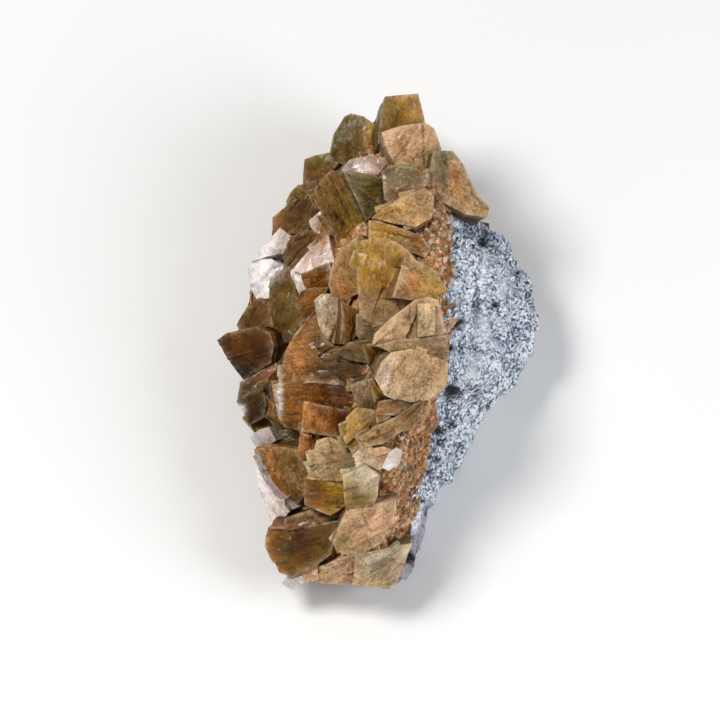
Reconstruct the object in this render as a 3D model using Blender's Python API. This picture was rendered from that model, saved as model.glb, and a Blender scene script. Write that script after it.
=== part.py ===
"""A hand specimen of siderite: blocky honey-brown crystals grown together on a wedge of grey rock.

It lies on the flat of its broken rock with the crystals up. X runs to the right, Y away along the length
and Z up.
"""

import math
import random

import bmesh
import bpy
import numpy as np
from mathutils import Euler, Vector

for thing in list(bpy.data.objects):
    bpy.data.objects.remove(thing, do_unlink=True)

# Driving sizes, in millimetres.
MM = 0.001
CLEARANCE = 0.3
CRUST = 2.5
CRUST_FOOT = 5.0
FOOT_GAP = 1.0
ROOT_SPREAD = 1.12
FACE_CROWN = 0.35
STAND = 0.75
OWN_LEAN = 0.45
ROOT_LIMIT = 28.5
FLANK_BLOCK = 9.0

# The crystals are drawn as seen from 65 degrees above the near end. The middle of that drawing is this far
# along and up from the middle of the base.
VIEW_HEIGHT = math.radians(65)
VIEW_MIDDLE = (-10.6, 36.0)

# The middle of the footprint on the plan that the stations below are drawn on.
PLAN_MIDDLE = Vector((0.36, -0.31, 0))

# The rock's plan and height at stations along its length, near end first.
ALONG = [-35.5, -31, -26, -19, -12, -4, 4, 11, 18, 25, 30, 34]
RIGHT = [4, 7, 8, 12, 16.5, 22, 25.8, 23.2, 18, 13.5, 9, 4]
RIGHT_HEIGHT = [4, 6, 7, 8, 10, 11, 12, 12, 13, 12, 10, 8]
RIDGE = [-1, 0, 2.5, 5, 8, 9.5, 9.5, 9, 8, 6, 4, 1]
RIDGE_HEIGHT = [11, 17, 22, 26, 29, 31, 31.5, 30.5, 28, 24, 19, 13]
LEFT = [-7, -9.5, -10.5, -11, -12, -14, -14.5, -13, -10.5, -8, -5, -2]
LEFT_HEIGHT = [4, 6, 8, 9, 9, 9, 9, 10, 11, 11, 10, 8]

# Where the crust ends and the bare rock begins, as distance right of the middle at each station.
SEAM = [5, 5, 4, 5.5, 10, 12, 12, 11.5, 11.5, 16, 16, 16]


def along(values, y):
    return np.interp(y, ALONG, values)


def rock_top(x, y):
    """The rock's height over a place in plan: a rounded roof falling from its ridge to both side edges."""
    ridge = along(RIDGE, y)
    right = np.clip((x - ridge) / (along(RIGHT, y) - ridge), 0, 1)
    left = np.clip((ridge - x) / (ridge - along(LEFT, y)), 0, 1)
    top = along(RIDGE_HEIGHT, y)
    fall = (top - along(RIGHT_HEIGHT, y)) * right**1.3 + (top - along(LEFT_HEIGHT, y)) * left**1.7
    return top - fall


def drawn_to_space(u, v, w):
    """A point right, up and towards the viewer on the drawing, as a point over the base."""
    y = VIEW_MIDDLE[0] + v * math.sin(VIEW_HEIGHT) - w * math.cos(VIEW_HEIGHT)
    z = VIEW_MIDDLE[1] + v * math.cos(VIEW_HEIGHT) + w * math.sin(VIEW_HEIGHT)
    return np.stack(np.broadcast_arrays(np.asarray(u, float), y, z), axis=-1)


def depth_of_crust(u, v):
    """How far behind the drawing the crust lies at one place: where the sight line first goes under it."""
    steps = np.arange(8, -60, -0.2)
    sight = drawn_to_space(u, v, steps)
    under = sight[:, 2] < rock_top(sight[:, 0], sight[:, 1]) + CRUST
    return steps[np.argmax(under)] if under.any() else steps[-1]


def mesh_object(name, points, faces):
    """A closed mesh from points in millimetres, with its faces turned outwards."""
    shape = bmesh.new()
    corners = [shape.verts.new((Vector(p) - PLAN_MIDDLE) * MM) for p in points]
    for face in faces:
        shape.faces.new([corners[i] for i in face])
    bmesh.ops.recalc_face_normals(shape, faces=shape.faces)
    bmesh.ops.triangulate(shape, faces=shape.faces)
    mesh = bpy.data.meshes.new(name)
    shape.to_mesh(mesh)
    shape.free()
    thing = bpy.data.objects.new(name, mesh)
    bpy.context.scene.collection.objects.link(thing)
    return thing


def lofted(name, rings):
    """A closed skin over rings of equal length, with a point in the middle of each end."""
    count = len(rings[0])
    points = [p for ring in rings for p in ring]
    faces = []
    for row in range(len(rings) - 1):
        for i in range(count):
            j = (i + 1) % count
            faces.append((row * count + i, row * count + j, (row + 1) * count + j, (row + 1) * count + i))
    for ring, start in ((rings[0], 0), (rings[-1], (len(rings) - 1) * count)):
        points.append(np.mean(ring, axis=0))
        middle = len(points) - 1
        faces += [(start + i, start + (i + 1) % count, middle) for i in range(count)]
    return mesh_object(name, points, faces)


def applied(thing, kind, **settings):
    """Adds one modifier and keeps its result as the object's own mesh."""
    modifier = thing.modifiers.new(kind.title(), kind)
    for key, value in settings.items():
        setattr(modifier, key, value)
    seen = thing.evaluated_get(bpy.context.evaluated_depsgraph_get())
    mesh = bpy.data.meshes.new_from_object(seen)
    thing.modifiers.clear()
    thing.data = mesh
    return thing


def grown(thing, name, amount):
    """A copy whose surface stands this many millimetres further out."""
    shape = bmesh.new()
    shape.from_mesh(thing.data)
    shape.normal_update()
    for corner in shape.verts:
        corner.co += corner.normal * amount * MM
    mesh = bpy.data.meshes.new(name)
    shape.to_mesh(mesh)
    shape.free()
    copy = bpy.data.objects.new(name, mesh)
    bpy.context.scene.collection.objects.link(copy)
    return copy


def outer_skin(thing):
    """Keeps the one skin that encloses the rest: pockets between grown-together crystals become solid."""
    shape = bmesh.new()
    shape.from_mesh(thing.data)
    waiting = set(shape.faces)
    skins = []
    while waiting:
        skin, edge_of_skin = set(), [waiting.pop()]
        while edge_of_skin:
            face = edge_of_skin.pop()
            skin.add(face)
            touching = {other for edge in face.edges for other in edge.link_faces} & waiting
            waiting -= touching
            edge_of_skin += touching
        skins.append(skin)
    skins.sort(key=len)
    for skin in skins[:-1]:
        bmesh.ops.delete(shape, geom=list(skin), context="FACES")
    loose = [corner for corner in shape.verts if not corner.link_faces]
    bmesh.ops.delete(shape, geom=loose, context="VERTS")
    shape.to_mesh(thing.data)
    shape.free()


def finish(thing, colour, roughness):
    material = bpy.data.materials.new(thing.name)
    material.use_nodes = True
    surface = material.node_tree.nodes["Principled BSDF"]
    surface.inputs["Base Color"].default_value = (*colour, 1)
    surface.inputs["Roughness"].default_value = roughness
    surface.inputs["Metallic"].default_value = 0
    thing.data.materials.clear()
    thing.data.materials.append(material)


# The matrix rock: a broken wedge, flat underneath.
def rock_ring(y):
    left, right = along(LEFT, y), along(RIGHT, y)
    left_height, right_height = along(LEFT_HEIGHT, y), along(RIGHT_HEIGHT, y)
    across = right + (left - right) * np.linspace(0, 1, 17)
    top = [(x, y, rock_top(x, y)) for x in across]
    foot_left, foot_right = left + 1.5, right * 0.8
    left_wall = [(left + 0.3, y, left_height * 0.66), (left + 0.8, y, left_height * 0.3)]
    base = [(x, y * 0.95, 0) for x in np.linspace(foot_left, foot_right, 7)]
    right_wall = [(foot_right + (right - foot_right) * t, y, right_height * t) for t in (0.35, 0.7)]
    return top + left_wall + base + right_wall


def broken(point):
    """Chips the rock: crossing waves of two lengths push each point about, and die away at the base."""
    x, y, z = point
    coarse = (math.sin(y / 2.9 + z / 3.7), math.sin(x / 3.1 - z / 2.7), math.sin(x / 3.3 + y / 2.3))
    fine = (math.sin(y * 1.3 - z), math.sin(x * 1.1 + z * 1.4), math.sin(x * 1.5 - y * 1.2))
    firm = min(z / 3, 1)
    return Vector(point) + (Vector(coarse) * 0.6 + Vector(fine) * 0.5) * firm


rock_rings = [[broken(p) for p in rock_ring(y)] for y in np.linspace(ALONG[0], ALONG[-1], 30)]
rock = lofted("matrix_rock", rock_rings)
finish(rock, (0.42, 0.45, 0.5), 0.75)


# The crust of massive siderite: it wraps the rock's left side and both ends, and stops at the seam.
def crust_ring(y):
    inner = np.clip(y / 1.06, ALONG[0], ALONG[-1])
    seam = min(along(SEAM, inner), along(RIGHT, inner) - 0.5)
    left = along(LEFT, inner) - CRUST
    across = seam + (left - seam) * np.linspace(0, 1, 12)
    rise = CRUST * np.clip((seam - across) / 3, -0.3, 1)
    height = rock_top(np.maximum(across, left + CRUST), inner) + rise
    top = [(x, y, max(z, CRUST_FOOT + 2)) for x, z in zip(across, height)]
    foot_left = (left + 0.4, y, CRUST_FOOT)
    foot_middle = (0.4 * left, y, CRUST_FOOT - 0.5)
    foot_right = (0.3 * seam, y, CRUST_FOOT - 0.3)
    return [*top, foot_left, foot_middle, foot_right]


crust_rings = [crust_ring(y) for y in np.linspace(ALONG[0] - CRUST, ALONG[-1] + CRUST, 24)]
crust = lofted("siderite_crystals", crust_rings)

# Each crystal: name, height over the crust, how far its face turns right and tips up in degrees, its depth,
# and the corners of its face on the drawing.
CRYSTALS = [
    ("summit", 3, 14, -10, 9, (1.5, 37.5), (6.5, 38), (7.5, 34), (7, 31), (3.5, 29.5), (0.5, 30.5),
     (1, 35)),
    ("salmon_block", 5, 4, -6, 11, (1, 32), (4, 33), (7.5, 33.5), (9, 32.5), (10, 29.5), (9, 26.5),
     (8, 25.5), (3.5, 26.5), (2, 29)),
    ("twin_peak", 3, -16, -4, 9, (-7.5, 28), (-6.5, 32), (-5, 34.5), (-4, 35), (-2, 34.5), (1, 32.5),
     (3, 28.5), (1.5, 27), (-4, 27)),
    ("pale_ledge", 4, 0, 30, 6, (-5.5, 26), (-4, 28), (-1, 28.5), (2, 28), (1, 26.5), (0, 25.5),
     (-2.5, 25.5)),
    ("left_shoulder", 3, -25, 0, 11, (-11.5, 24.5), (-11, 28), (-9.5, 28.5), (-7.5, 29), (-6, 27.5),
     (-8, 24.5)),
    ("grey_wedge", 2.5, -30, 10, 9, (-14, 21.5), (-13, 23), (-12, 24), (-10, 23.5), (-11, 21.5),
     (-12.5, 20.5)),
    ("brown_step", 3.5, -10, -10, 8, (-11.5, 24), (-8.5, 25), (-9, 22.5), (-10, 20.5), (-11.5, 21)),
    ("brown_cheek", 3.5, -25, -5, 11, (-16, 16), (-16, 19), (-14, 20.5), (-13.5, 21.5), (-10, 22),
     (-10, 19), (-10.5, 17)),
    ("pale_wedge", 2.5, -30, 10, 6, (-10.5, 18.5), (-9, 20), (-7, 16.5), (-8.5, 16), (-10, 17.5)),
    ("striped_plate", 6.5, -10, -12, 10, (-10, 22.5), (-8.5, 24.5), (-7, 26), (-5, 26), (-3, 21.5),
     (-1, 16.5), (-1.5, 15.5), (-4.5, 14.5), (-6, 15.5), (-8.5, 20)),
    ("slate_green", 5, 16, -5, 10, (-5, 26), (-0.5, 25.5), (1.5, 24.5), (2, 22), (1, 20.5), (-1.5, 18.5)),
    ("smoky_lens", 5, 10, 18, 9, (1, 26), (2.5, 27), (6, 27), (7.5, 26), (8, 24.5), (7, 23), (3, 21),
     (1.5, 22)),
    ("right_spur", 4.5, 12, -12, 12, (9, 29), (12, 29), (13.5, 27), (14.5, 24.5), (16, 22), (17.5, 20.5),
     (17, 19), (14, 19.5), (10, 21.5), (8, 24)),
    ("arrow", 6, 6, 15, 6, (-0.5, 19), (1.5, 20.5), (4, 22), (7.5, 23.5), (9, 22.5), (8.5, 19), (6, 17.5),
     (3, 18)),
    ("arrow_window", 4.5, 0, -35, 4, (-0.5, 18.5), (3.5, 20), (4, 18.5), (2.5, 17), (0.5, 17.5)),
    ("tan_beam", 5, 0, 22, 6, (-1, 18.5), (0.5, 18.5), (4, 17), (7, 16), (8.5, 14.5), (7.5, 13), (3, 14.5),
     (-1, 15)),
    ("great_lens", 7, -6, -6, 12, (-3, 12), (-3, 15), (-0.5, 15.5), (3, 15), (5, 13.5), (6.5, 11.5),
     (7, 8.5), (6, 6), (3.5, 4.5), (1, 2.5), (-0.5, 2), (-2.5, 4)),
    ("lens_flank", 6, 30, -10, 9, (5, 12.5), (6.5, 12), (9.5, 10.5), (11, 8), (10, 5.5), (7, 6), (3, 6.5)),
    ("left_leaf", 5.5, -30, -6, 9, (-7, 7), (-7.5, 8.5), (-7, 11), (-5.5, 14), (-3.5, 15.5), (-2.5, 14),
     (-2.5, 7.5), (-4.5, 6.5), (-6, 5.5)),
    ("cream_bark", 7, -12, 0, 8, (-9.5, 6), (-8.5, 7), (-7, 7), (-5, 5.5), (-5, -0.5), (-7, -0.5),
     (-8.5, 1)),
    ("bark_window", 6, 35, -5, 7, (-5, 6), (-3, 4.5), (-2.5, 3.5), (-3, 1), (-3.5, -0.5), (-5.5, -0.5)),
    ("grey_stub", 4.5, 5, -16, 7, (-3, 4), (0, 3), (0.5, 2), (0, 0), (-2, -0.5), (-3, 1)),
    ("fan", 6, 2, -6, 10, (-0.5, -1), (0, 1), (2, 3), (4, 4.5), (6, 6), (8, 6.5), (9.5, 6), (10.5, 2),
     (10, 0.5), (7.5, -0.5)),
    ("fan_blade_left", 7.2, -16, 6, 5, (1, 0), (2.5, 2.5), (5, 5), (6.5, 5.5), (6, 4), (5, 1.5), (4, 0)),
    ("fan_blade_right", 7, 16, 2, 5, (6.5, 5.5), (9, 5.5), (9, 3.5), (9, 1), (6.5, 0.5)),
    ("crumbled_band", 5, 6, -12, 7, (0, -1), (3.5, 0), (10, 0.5), (11, -1.5), (11, -3.5), (5.5, -2.5),
     (2.5, -2)),
    ("broad_block", 6.5, 6, -6, 12, (1, -3.5), (2.5, -2), (5.5, -1.5), (8.5, -2.5), (11, -3.5), (11, -6),
     (10.5, -7.5), (8.5, -9), (5.5, -9.5), (1.5, -8.5), (0, -6)),
    ("amber_pocket", 3, 20, -20, 6, (-2, -1), (0.5, -0.5), (2, -2.5), (1, -4.5), (0, -5), (-1, -4)),
    ("slate_plate", 5, -6, -20, 6, (-6.5, -2), (-4, -0.5), (-1, 0), (-1, -3.5), (-4, -3)),
    ("grey_rhomb", 7, -10, -16, 8, (-4, -7), (-0.5, -6), (0.5, -8.5), (-0.5, -12), (-2, -12), (-3, -9.5)),
    ("rhomb_window", 5.5, 40, 0, 7, (-0.5, -6.5), (2, -8.5), (2, -9.5), (0, -11)),
    ("silver_upper", 4.5, -20, 28, 9, (-19.5, 12.5), (-17.5, 14.5), (-15, 17.5), (-13, 16), (-14.5, 13.5)),
    ("silver_lower", 4.5, -36, 8, 10, (-20.5, 11), (-19.5, 12.5), (-16.5, 12.5), (-13.5, 11), (-16.5, 6.5),
     (-18.5, 6.5)),
    ("brown_valley", 3, -16, 0, 9, (-14.5, 13.5), (-13, 16), (-11, 17), (-7, 16.5), (-9, 14.5),
     (-13.5, 11)),
    ("silver_blade", 5, -26, 24, 7, (-13, 11), (-11.5, 12.5), (-9.5, 14.5), (-7.5, 16.5), (-6.5, 12),
     (-11.5, 10.5)),
    ("silver_tail", 4, -36, -10, 7, (-14, 11), (-12, 10.5), (-11, 8), (-12, 6), (-13, 7.5)),
    ("olive_slab", 5, -32, 0, 11, (-15.5, 10.5), (-14, 11), (-13, 9), (-11, 3), (-13, 1), (-15.5, -0.5),
     (-16.5, 1.5), (-16.5, 8)),
    ("russet_hollow", 3, 0, -20, 7, (-11.5, 10), (-7, 12), (-7, 9), (-7.5, 7.5), (-9, 7), (-11, 8.5)),
    ("russet_knob", 4, -10, -16, 8, (-12.5, 5.5), (-11.5, 7.5), (-9.5, 8), (-7.5, 8), (-9, 4.5), (-11, 3)),
    ("left_brown", 3.5, -26, 10, 11, (-21.5, 2.5), (-20, 5), (-18, 6.5), (-16.5, 6), (-16, 1.5), (-21, 1)),
    ("dark_left", 4.5, -32, -6, 12, (-24.5, 0), (-23, 1), (-18.5, 2), (-16.5, 1), (-16, -1), (-16.5, -3.5),
     (-20.5, -6), (-22.5, -3.5)),
    ("left_step", 2.5, -20, 16, 9, (-21, -6.5), (-17.5, -4.5), (-15.5, -3.5), (-15.5, -6), (-20, -9),
     (-21.5, -9.5)),
    ("left_olive", 3, -22, -10, 10, (-21.5, -9.5), (-19.5, -8), (-17.5, -7.5), (-17, -10), (-17.5, -12),
     (-19.5, -13)),
    ("russet_strip", 3.5, -30, -6, 9, (-19, -7.5), (-18, -6.5), (-16, -6.5), (-15, -11), (-15, -14.5),
     (-17.5, -11)),
    ("great_plate_upper", 7, -16, 10, 11, (-9, 5), (-8.5, 1), (-6.5, -1), (-3.5, -3), (-1, -5),
     (-1.5, -6.5), (-4, -7), (-10, -6.5), (-15.5, -7), (-14, -2), (-12.5, 1)),
    ("great_plate_lower", 7.3, -12, -16, 11, (-16, -7), (-10, -6.2), (-3, -6.5), (-2.5, -10), (-4, -12),
     (-7, -14), (-11.5, -14), (-14, -13.5), (-15, -12)),
    ("ember_top", 7, -6, 6, 9, (-11, -9.5), (-7, -10.5), (-4, -11), (-3.5, -12.5), (-5, -15), (-8.5, -14.5),
     (-11.5, -14)),
    ("ember_foot", 6.5, -10, -20, 9, (-11.5, -13.7), (-8.5, -14.2), (-9, -16.5), (-9.5, -19), (-11, -19),
     (-12, -17.5)),
    ("bottle_green", 4, -10, -10, 8, (-16, -14.5), (-14.5, -14), (-11.5, -14), (-11.5, -16.5),
     (-13.5, -17.5)),
    ("foot_left", 6, -20, -6, 12, (-19, -17), (-16.5, -16.5), (-11.5, -17), (-10.5, -19), (-10.5, -22.5),
     (-11.5, -24.5), (-13.5, -26.5), (-17, -24), (-18, -21)),
    ("foot_glint", 4.5, -40, -24, 8, (-19, -18), (-17, -22), (-13.5, -26.5), (-14.5, -27.5), (-16, -29),
     (-18, -23)),
    ("block_rough", 7, 2, 10, 9, (-9.5, -17), (-9, -15.5), (-7, -15), (-4.5, -16.5), (-1.5, -19.5),
     (0.5, -21), (-5, -21.7), (-10.5, -21.2)),
    ("block_window", 7.2, -8, -14, 10, (-11, -21.2), (-5, -20.8), (-3.5, -23), (-4.5, -25.5), (-7, -27),
     (-11, -25.5)),
    ("block_right", 7, 12, -14, 9, (-5, -21), (-1.5, -19.5), (0.5, -21), (0, -24), (-0.5, -25.5),
     (-4.5, -26)),
    ("ochre_wing", 6.5, -6, -6, 8, (-5, -15), (-4.5, -12), (-3, -10.5), (0.5, -11), (3.5, -10.5), (3, -12),
     (0, -14), (-2, -16.5), (-4, -17)),
    ("layered_keel", 6, 6, -16, 8, (-2.5, -15), (0.5, -13), (3, -12), (6, -10), (7.5, -9.5), (7, -11),
     (5.5, -13), (1, -16), (-1.5, -16.5)),
    ("upper_laths", 5.5, 6, 10, 7, (0, -11.5), (0.5, -9.5), (3.5, -9), (7, -8.7), (6, -10), (3, -11.5)),
    ("pale_stub", 5.5, 6, -6, 7, (-3.5, -18), (-2.5, -17), (1, -16.5), (2.5, -17), (1.5, -19.5),
     (0.5, -20)),
    ("olive_drum", 7, -14, -22, 12, (-16.5, -29), (-12.5, -29), (-6, -28), (-7, -33), (-9, -34.5),
     (-13, -36.5), (-15, -36), (-17, -32), (-17, -30.5)),
    ("fibrous_strip", 6, -4, 16, 9, (-14, -27.5), (-10, -26.3), (-6.5, -26.3), (-5, -27.5), (-6.5, -28.7),
     (-14, -29.2)),
    ("peach_plate", 6.5, 6, -16, 9, (-6.5, -31), (-5.5, -28.5), (-4.5, -26.5), (-2.5, -25.5), (3, -25),
     (3, -27), (1.5, -29.5), (1, -31), (-3, -33.5), (-6, -32.5)),
    ("foot_ledge_left", 2.5, -8, -30, 9, (-11, -36.5), (-6, -34), (-3, -33), (-2, -35), (-3.5, -37.8),
     (-8.5, -37.7)),
    ("foot_ledge_right", 2, 12, -26, 10, (-3, -33), (0, -32.5), (5.5, -31.5), (5, -33), (3.2, -37.4),
     (2, -38.3), (-3.5, -37.8)),
]

# The outline of the whole specimen on the drawing, near end first and up the left side.
OUTLINE = [
    (2, -38.3), (-5, -37.8), (-13, -38.5), (-17, -34), (-16.5, -26), (-19, -18), (-21.5, -9.5), (-20.5, -6),
    (-24.5, 0), (-21.5, 2.5), (-19.5, 7.5), (-20.5, 11), (-17.5, 14.5), (-16, 19), (-12, 24), (-11, 28),
    (-7.5, 29), (-5, 34.5), (-2, 34.5), (1, 32.5), (1.5, 37.5), (6.5, 38), (9, 32.5), (10, 29.5), (12, 29),
    (14.5, 24.5), (17.5, 20.5), (18.5, 16), (21.5, 13), (25, 7.5), (23, -1.5), (21.5, -6), (16, -13),
    (11, -19), (7, -27), (4, -35),
]


def spread(face, by, shift=(0, 0)):
    middle = face.mean(axis=0)
    return middle + (face - middle) * by + np.array(shift)


def face_plane(lift, turn, tip, corners):
    """A face's corners and middle on the drawing, how far the middle stands forward, and two slopes."""
    face = np.array(corners, float)
    middle = face.mean(axis=0)
    level = depth_of_crust(middle[0] * 0.92, min(middle[1] * 0.92, ROOT_LIMIT)) + lift * STAND
    return face, middle, level, -np.tan(np.radians([turn, tip]))


def crystal_points(lift, turn, tip, depth, corners, root=ROOT_SPREAD):
    """Front and back corners and crowned middle of one block, which leans in to the ridge as it goes down."""
    face, middle, level, slope = face_plane(lift, turn, tip, corners)
    front = level + (face - middle) @ slope
    inward = np.array([0.02 * (4 - middle[0]), -0.01 * middle[1]]) + OWN_LEAN * slope
    back = spread(face, root, inward * depth)
    front_points = drawn_to_space(face[:, 0], face[:, 1], front)
    back_points = drawn_to_space(back[:, 0], back[:, 1], front - depth)
    peak = drawn_to_space(middle[0], middle[1], level + FACE_CROWN)
    return front_points, back_points, peak


def block(name, front, back, peak):
    """A closed block: a fan of facets over its front ring, sides to the back ring, and a flat back."""
    count = len(front)
    points = [*front, *back, peak]
    faces = [tuple(range(count, 2 * count))]
    for i in range(count):
        j = (i + 1) % count
        faces.append((i, j, 2 * count))
        faces.append((i, j, count + j, count + i))
    return mesh_object(name, points, faces)


grown_blocks = bpy.data.collections.new("grown_blocks")


def gather(thing):
    bpy.context.scene.collection.objects.unlink(thing)
    grown_blocks.objects.link(thing)


for crystal_name, lift, turn, tip, depth, *corners in CRYSTALS:
    gather(block(crystal_name, *crystal_points(lift, turn, tip, depth, corners)))


# The crystals that the drawing doesn't show wrap the left side and the far end in rows.
def crust_reach(bearing):
    """How far the crust's edge lies from the middle in one direction of the plan."""
    reach = np.arange(0, 60, 0.25)
    x, y = reach * math.cos(bearing), reach * math.sin(bearing)
    inside = (x > along(LEFT, y) - CRUST) & (x < along(RIGHT, y)) & (abs(y) < ALONG[-1] + CRUST)
    return reach[np.argmin(inside)]


def on_drawing(point):
    """Where a point over the base shows on the drawing, and how far it stands towards the viewer."""
    y, z = point[1] - VIEW_MIDDLE[0], point[2] - VIEW_MIDDLE[1]
    v = y * math.sin(VIEW_HEIGHT) + z * math.cos(VIEW_HEIGHT)
    return point[0], v, z * math.sin(VIEW_HEIGHT) - y * math.cos(VIEW_HEIGHT)


def inside(u, v, ring):
    """Whether a place on the drawing lies in a ring, by counting the edges that pass to its right."""
    start = np.array(ring, float)
    end = np.roll(start, -1, axis=0)
    spans = (start[:, 1] > v) != (end[:, 1] > v)
    start, run = start[spans], (end - start)[spans]
    return np.sum(u < start[:, 0] + (v - start[:, 1]) * run[:, 0] / run[:, 1]) % 2 == 1


drawn_faces = [face_plane(lift, turn, tip, corners) for name, lift, turn, tip, depth, *corners in CRYSTALS]


def hidden(point):
    """Whether a point keeps inside the outline and behind the face or the crust that shows at its place."""
    u, v, w = on_drawing(point)
    if not inside(u, v, OUTLINE):
        return False
    over = [level + (np.array((u, v)) - middle) @ slope
            for face, middle, level, slope in drawn_faces if inside(u, v, face)]
    return w < max(over, default=depth_of_crust(u, v) + CRUST) - CLEARANCE


def flank_block(bearing, height, size, set_in, dice):
    """A leaning rhombohedral block that stands out of the crust's edge."""
    reach = crust_reach(bearing) - set_in
    middle = Vector((reach * math.cos(bearing), reach * math.sin(bearing), height))
    lean = [dice.uniform(-0.45, 0.45) for axis in range(3)]
    turn = Euler((lean[0], lean[1], bearing + lean[2])).to_matrix()
    corners = [(1, 1), (-1, 0.75), (-1.15, -0.85), (0.9, -1)]
    rings = []
    for out, wide in ((0.5, 0.46), (-0.6, 0.56)):
        square = [Vector((out + 0.12 * b, a * wide, b * wide * 0.9)) * size for a, b in corners]
        rings.append([turn @ corner + middle for corner in square])
    peak = sum(rings[0], Vector()) / 4 + turn @ Vector((FACE_CROWN, 0, 0))
    return rings[0], rings[1], peak


# Each row of the flank: its height, its first and last bearing in degrees, and its number of crystals.
# A block that would show on the drawing is set further in, and then made smaller.
FLANK_ROWS = [(7, 44, 292, 24), (12.5, 56, 268, 18), (17.5, 62, 235, 12)]
FLANK_TRIES = [(shrink, set_in) for shrink in (1, 0.8, 0.65) for set_in in np.arange(0, 9, 1.5)]
dice = random.Random(7)
for row, (height, first, last, count) in enumerate(FLANK_ROWS):
    for step in range(count):
        bearing = math.radians(first + (last - first) * (step + 0.5 * row) / (count - 1))
        size = FLANK_BLOCK * dice.uniform(0.8, 1.25)
        raised = height + dice.uniform(-1, 1)
        seed = dice.random()
        for shrink, set_in in FLANK_TRIES:
            front, back, peak = flank_block(bearing, raised, size * shrink, set_in, random.Random(seed))
            if all(hidden(p) and p[2] > FOOT_GAP for p in (*front, *back, peak)):
                gather(block(f"flank_{row}_{step}", front, back, peak))
                break

applied(crust, "BOOLEAN", solver="MANIFOLD", operation="UNION", operand_type="COLLECTION",
        collection=grown_blocks)
for thing in list(grown_blocks.objects):
    bpy.data.objects.remove(thing, do_unlink=True)

bed = grown(rock, "bed", CLEARANCE + 0.1)
corners = [(x, y, z) for z in (-20, FOOT_GAP) for x, y in ((-60, -60), (60, -60), (60, 60), (-60, 60))]
sides = [(0, 1, 2, 3), (4, 5, 6, 7), (0, 1, 5, 4), (1, 2, 6, 5), (2, 3, 7, 6), (3, 0, 4, 7)]
ground = mesh_object("ground", corners, sides)
for hollow in (bed, ground):
    applied(crust, "BOOLEAN", solver="MANIFOLD", operation="DIFFERENCE", object=hollow)

# The white quartz crystals that stick out between the siderite.
QUARTZ = [
    ("quartz_sliver", 6.8, 10, 20, 5, (2, -17.5), (3, -16.7), (4, -17), (3.5, -19), (2, -20), (1, -19.5)),
    ("quartz_chip", 5.5, -20, 0, 7, (-19.5, -15), (-18, -14), (-16.5, -13.5), (-15.5, -15.5), (-18, -17)),
    ("quartz_splinter", 4, -10, -20, 7, (-14.5, -37.5), (-13, -37), (-10, -36), (-10, -37), (-13, -38.5)),
]
for quartz_name, lift, turn, tip, depth, *corners in QUARTZ:
    quartz = block(quartz_name, *crystal_points(lift, turn, tip, depth, corners, root=0.95))
    socket = grown(quartz, "socket", CLEARANCE + 0.1)
    applied(crust, "BOOLEAN", solver="MANIFOLD", operation="DIFFERENCE", object=socket)
    applied(quartz, "BOOLEAN", solver="MANIFOLD", operation="DIFFERENCE", object=bed)
    bpy.data.objects.remove(socket, do_unlink=True)
    finish(quartz, (0.82, 0.8, 0.78), 0.25)

bpy.data.objects.remove(bed, do_unlink=True)
bpy.data.objects.remove(ground, do_unlink=True)
outer_skin(crust)
finish(crust, (0.36, 0.2, 0.07), 0.35)
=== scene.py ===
"""Looks of a siderite specimen: honey-brown crystals grown together over grey rock, lying on its back."""

import math
import random

import bpy
import numpy as np
from mathutils import Euler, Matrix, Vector


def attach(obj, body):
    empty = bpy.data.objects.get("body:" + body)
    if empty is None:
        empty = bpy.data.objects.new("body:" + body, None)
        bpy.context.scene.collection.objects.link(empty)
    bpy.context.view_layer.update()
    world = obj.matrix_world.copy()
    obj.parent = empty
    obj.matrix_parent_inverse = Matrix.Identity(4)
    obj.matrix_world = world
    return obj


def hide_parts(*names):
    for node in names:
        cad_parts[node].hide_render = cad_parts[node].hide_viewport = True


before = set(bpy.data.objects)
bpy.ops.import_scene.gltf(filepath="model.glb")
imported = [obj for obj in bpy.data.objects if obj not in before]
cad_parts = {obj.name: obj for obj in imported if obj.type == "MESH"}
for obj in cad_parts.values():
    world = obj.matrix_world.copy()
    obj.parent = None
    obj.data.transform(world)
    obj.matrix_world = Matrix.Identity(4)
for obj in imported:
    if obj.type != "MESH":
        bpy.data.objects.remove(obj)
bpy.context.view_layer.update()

# The view. The specimen is drawn as seen from 65 degrees above its near end, in millimetres right of and up
# from the drawing's middle and towards the viewer. The camera looks straight at that drawing from far off.
MM = 0.001
VIEW_HEIGHT = math.radians(65)
VIEW_MIDDLE = (-10.6, 36.0)
PLAN_MIDDLE = np.array([0.36, -0.31, 0])
PHOTO_MIDDLE = (-2.46, -3.08)
PHOTO_SIDE = 110.8
CAMERA_REACH = 4000
CAMERA_CLIP = (0.01, 20)
SENSOR = 36


def drawn_to_space(u, v, w):
    """A point of the drawing in space: the drawing leans back, square to the line of sight."""
    y = VIEW_MIDDLE[0] + v * math.sin(VIEW_HEIGHT) - w * math.cos(VIEW_HEIGHT)
    z = VIEW_MIDDLE[1] + v * math.cos(VIEW_HEIGHT) + w * math.sin(VIEW_HEIGHT)
    return np.stack(np.broadcast_arrays(np.asarray(u, float), y, z), axis=-1)


def on_drawing(points):
    """Where points in space show on the drawing, and how far they stand towards the viewer."""
    x, y, z = np.moveaxis(points, -1, 0)
    y, z = y - VIEW_MIDDLE[0], z - VIEW_MIDDLE[1]
    v = y * math.sin(VIEW_HEIGHT) + z * math.cos(VIEW_HEIGHT)
    return x, v, z * math.sin(VIEW_HEIGHT) - y * math.cos(VIEW_HEIGHT)


def metres(points):
    """Points in millimetres as metres, with the middle of the specimen's plan at the origin."""
    return (np.asarray(points) - PLAN_MIDDLE) * MM


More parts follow.
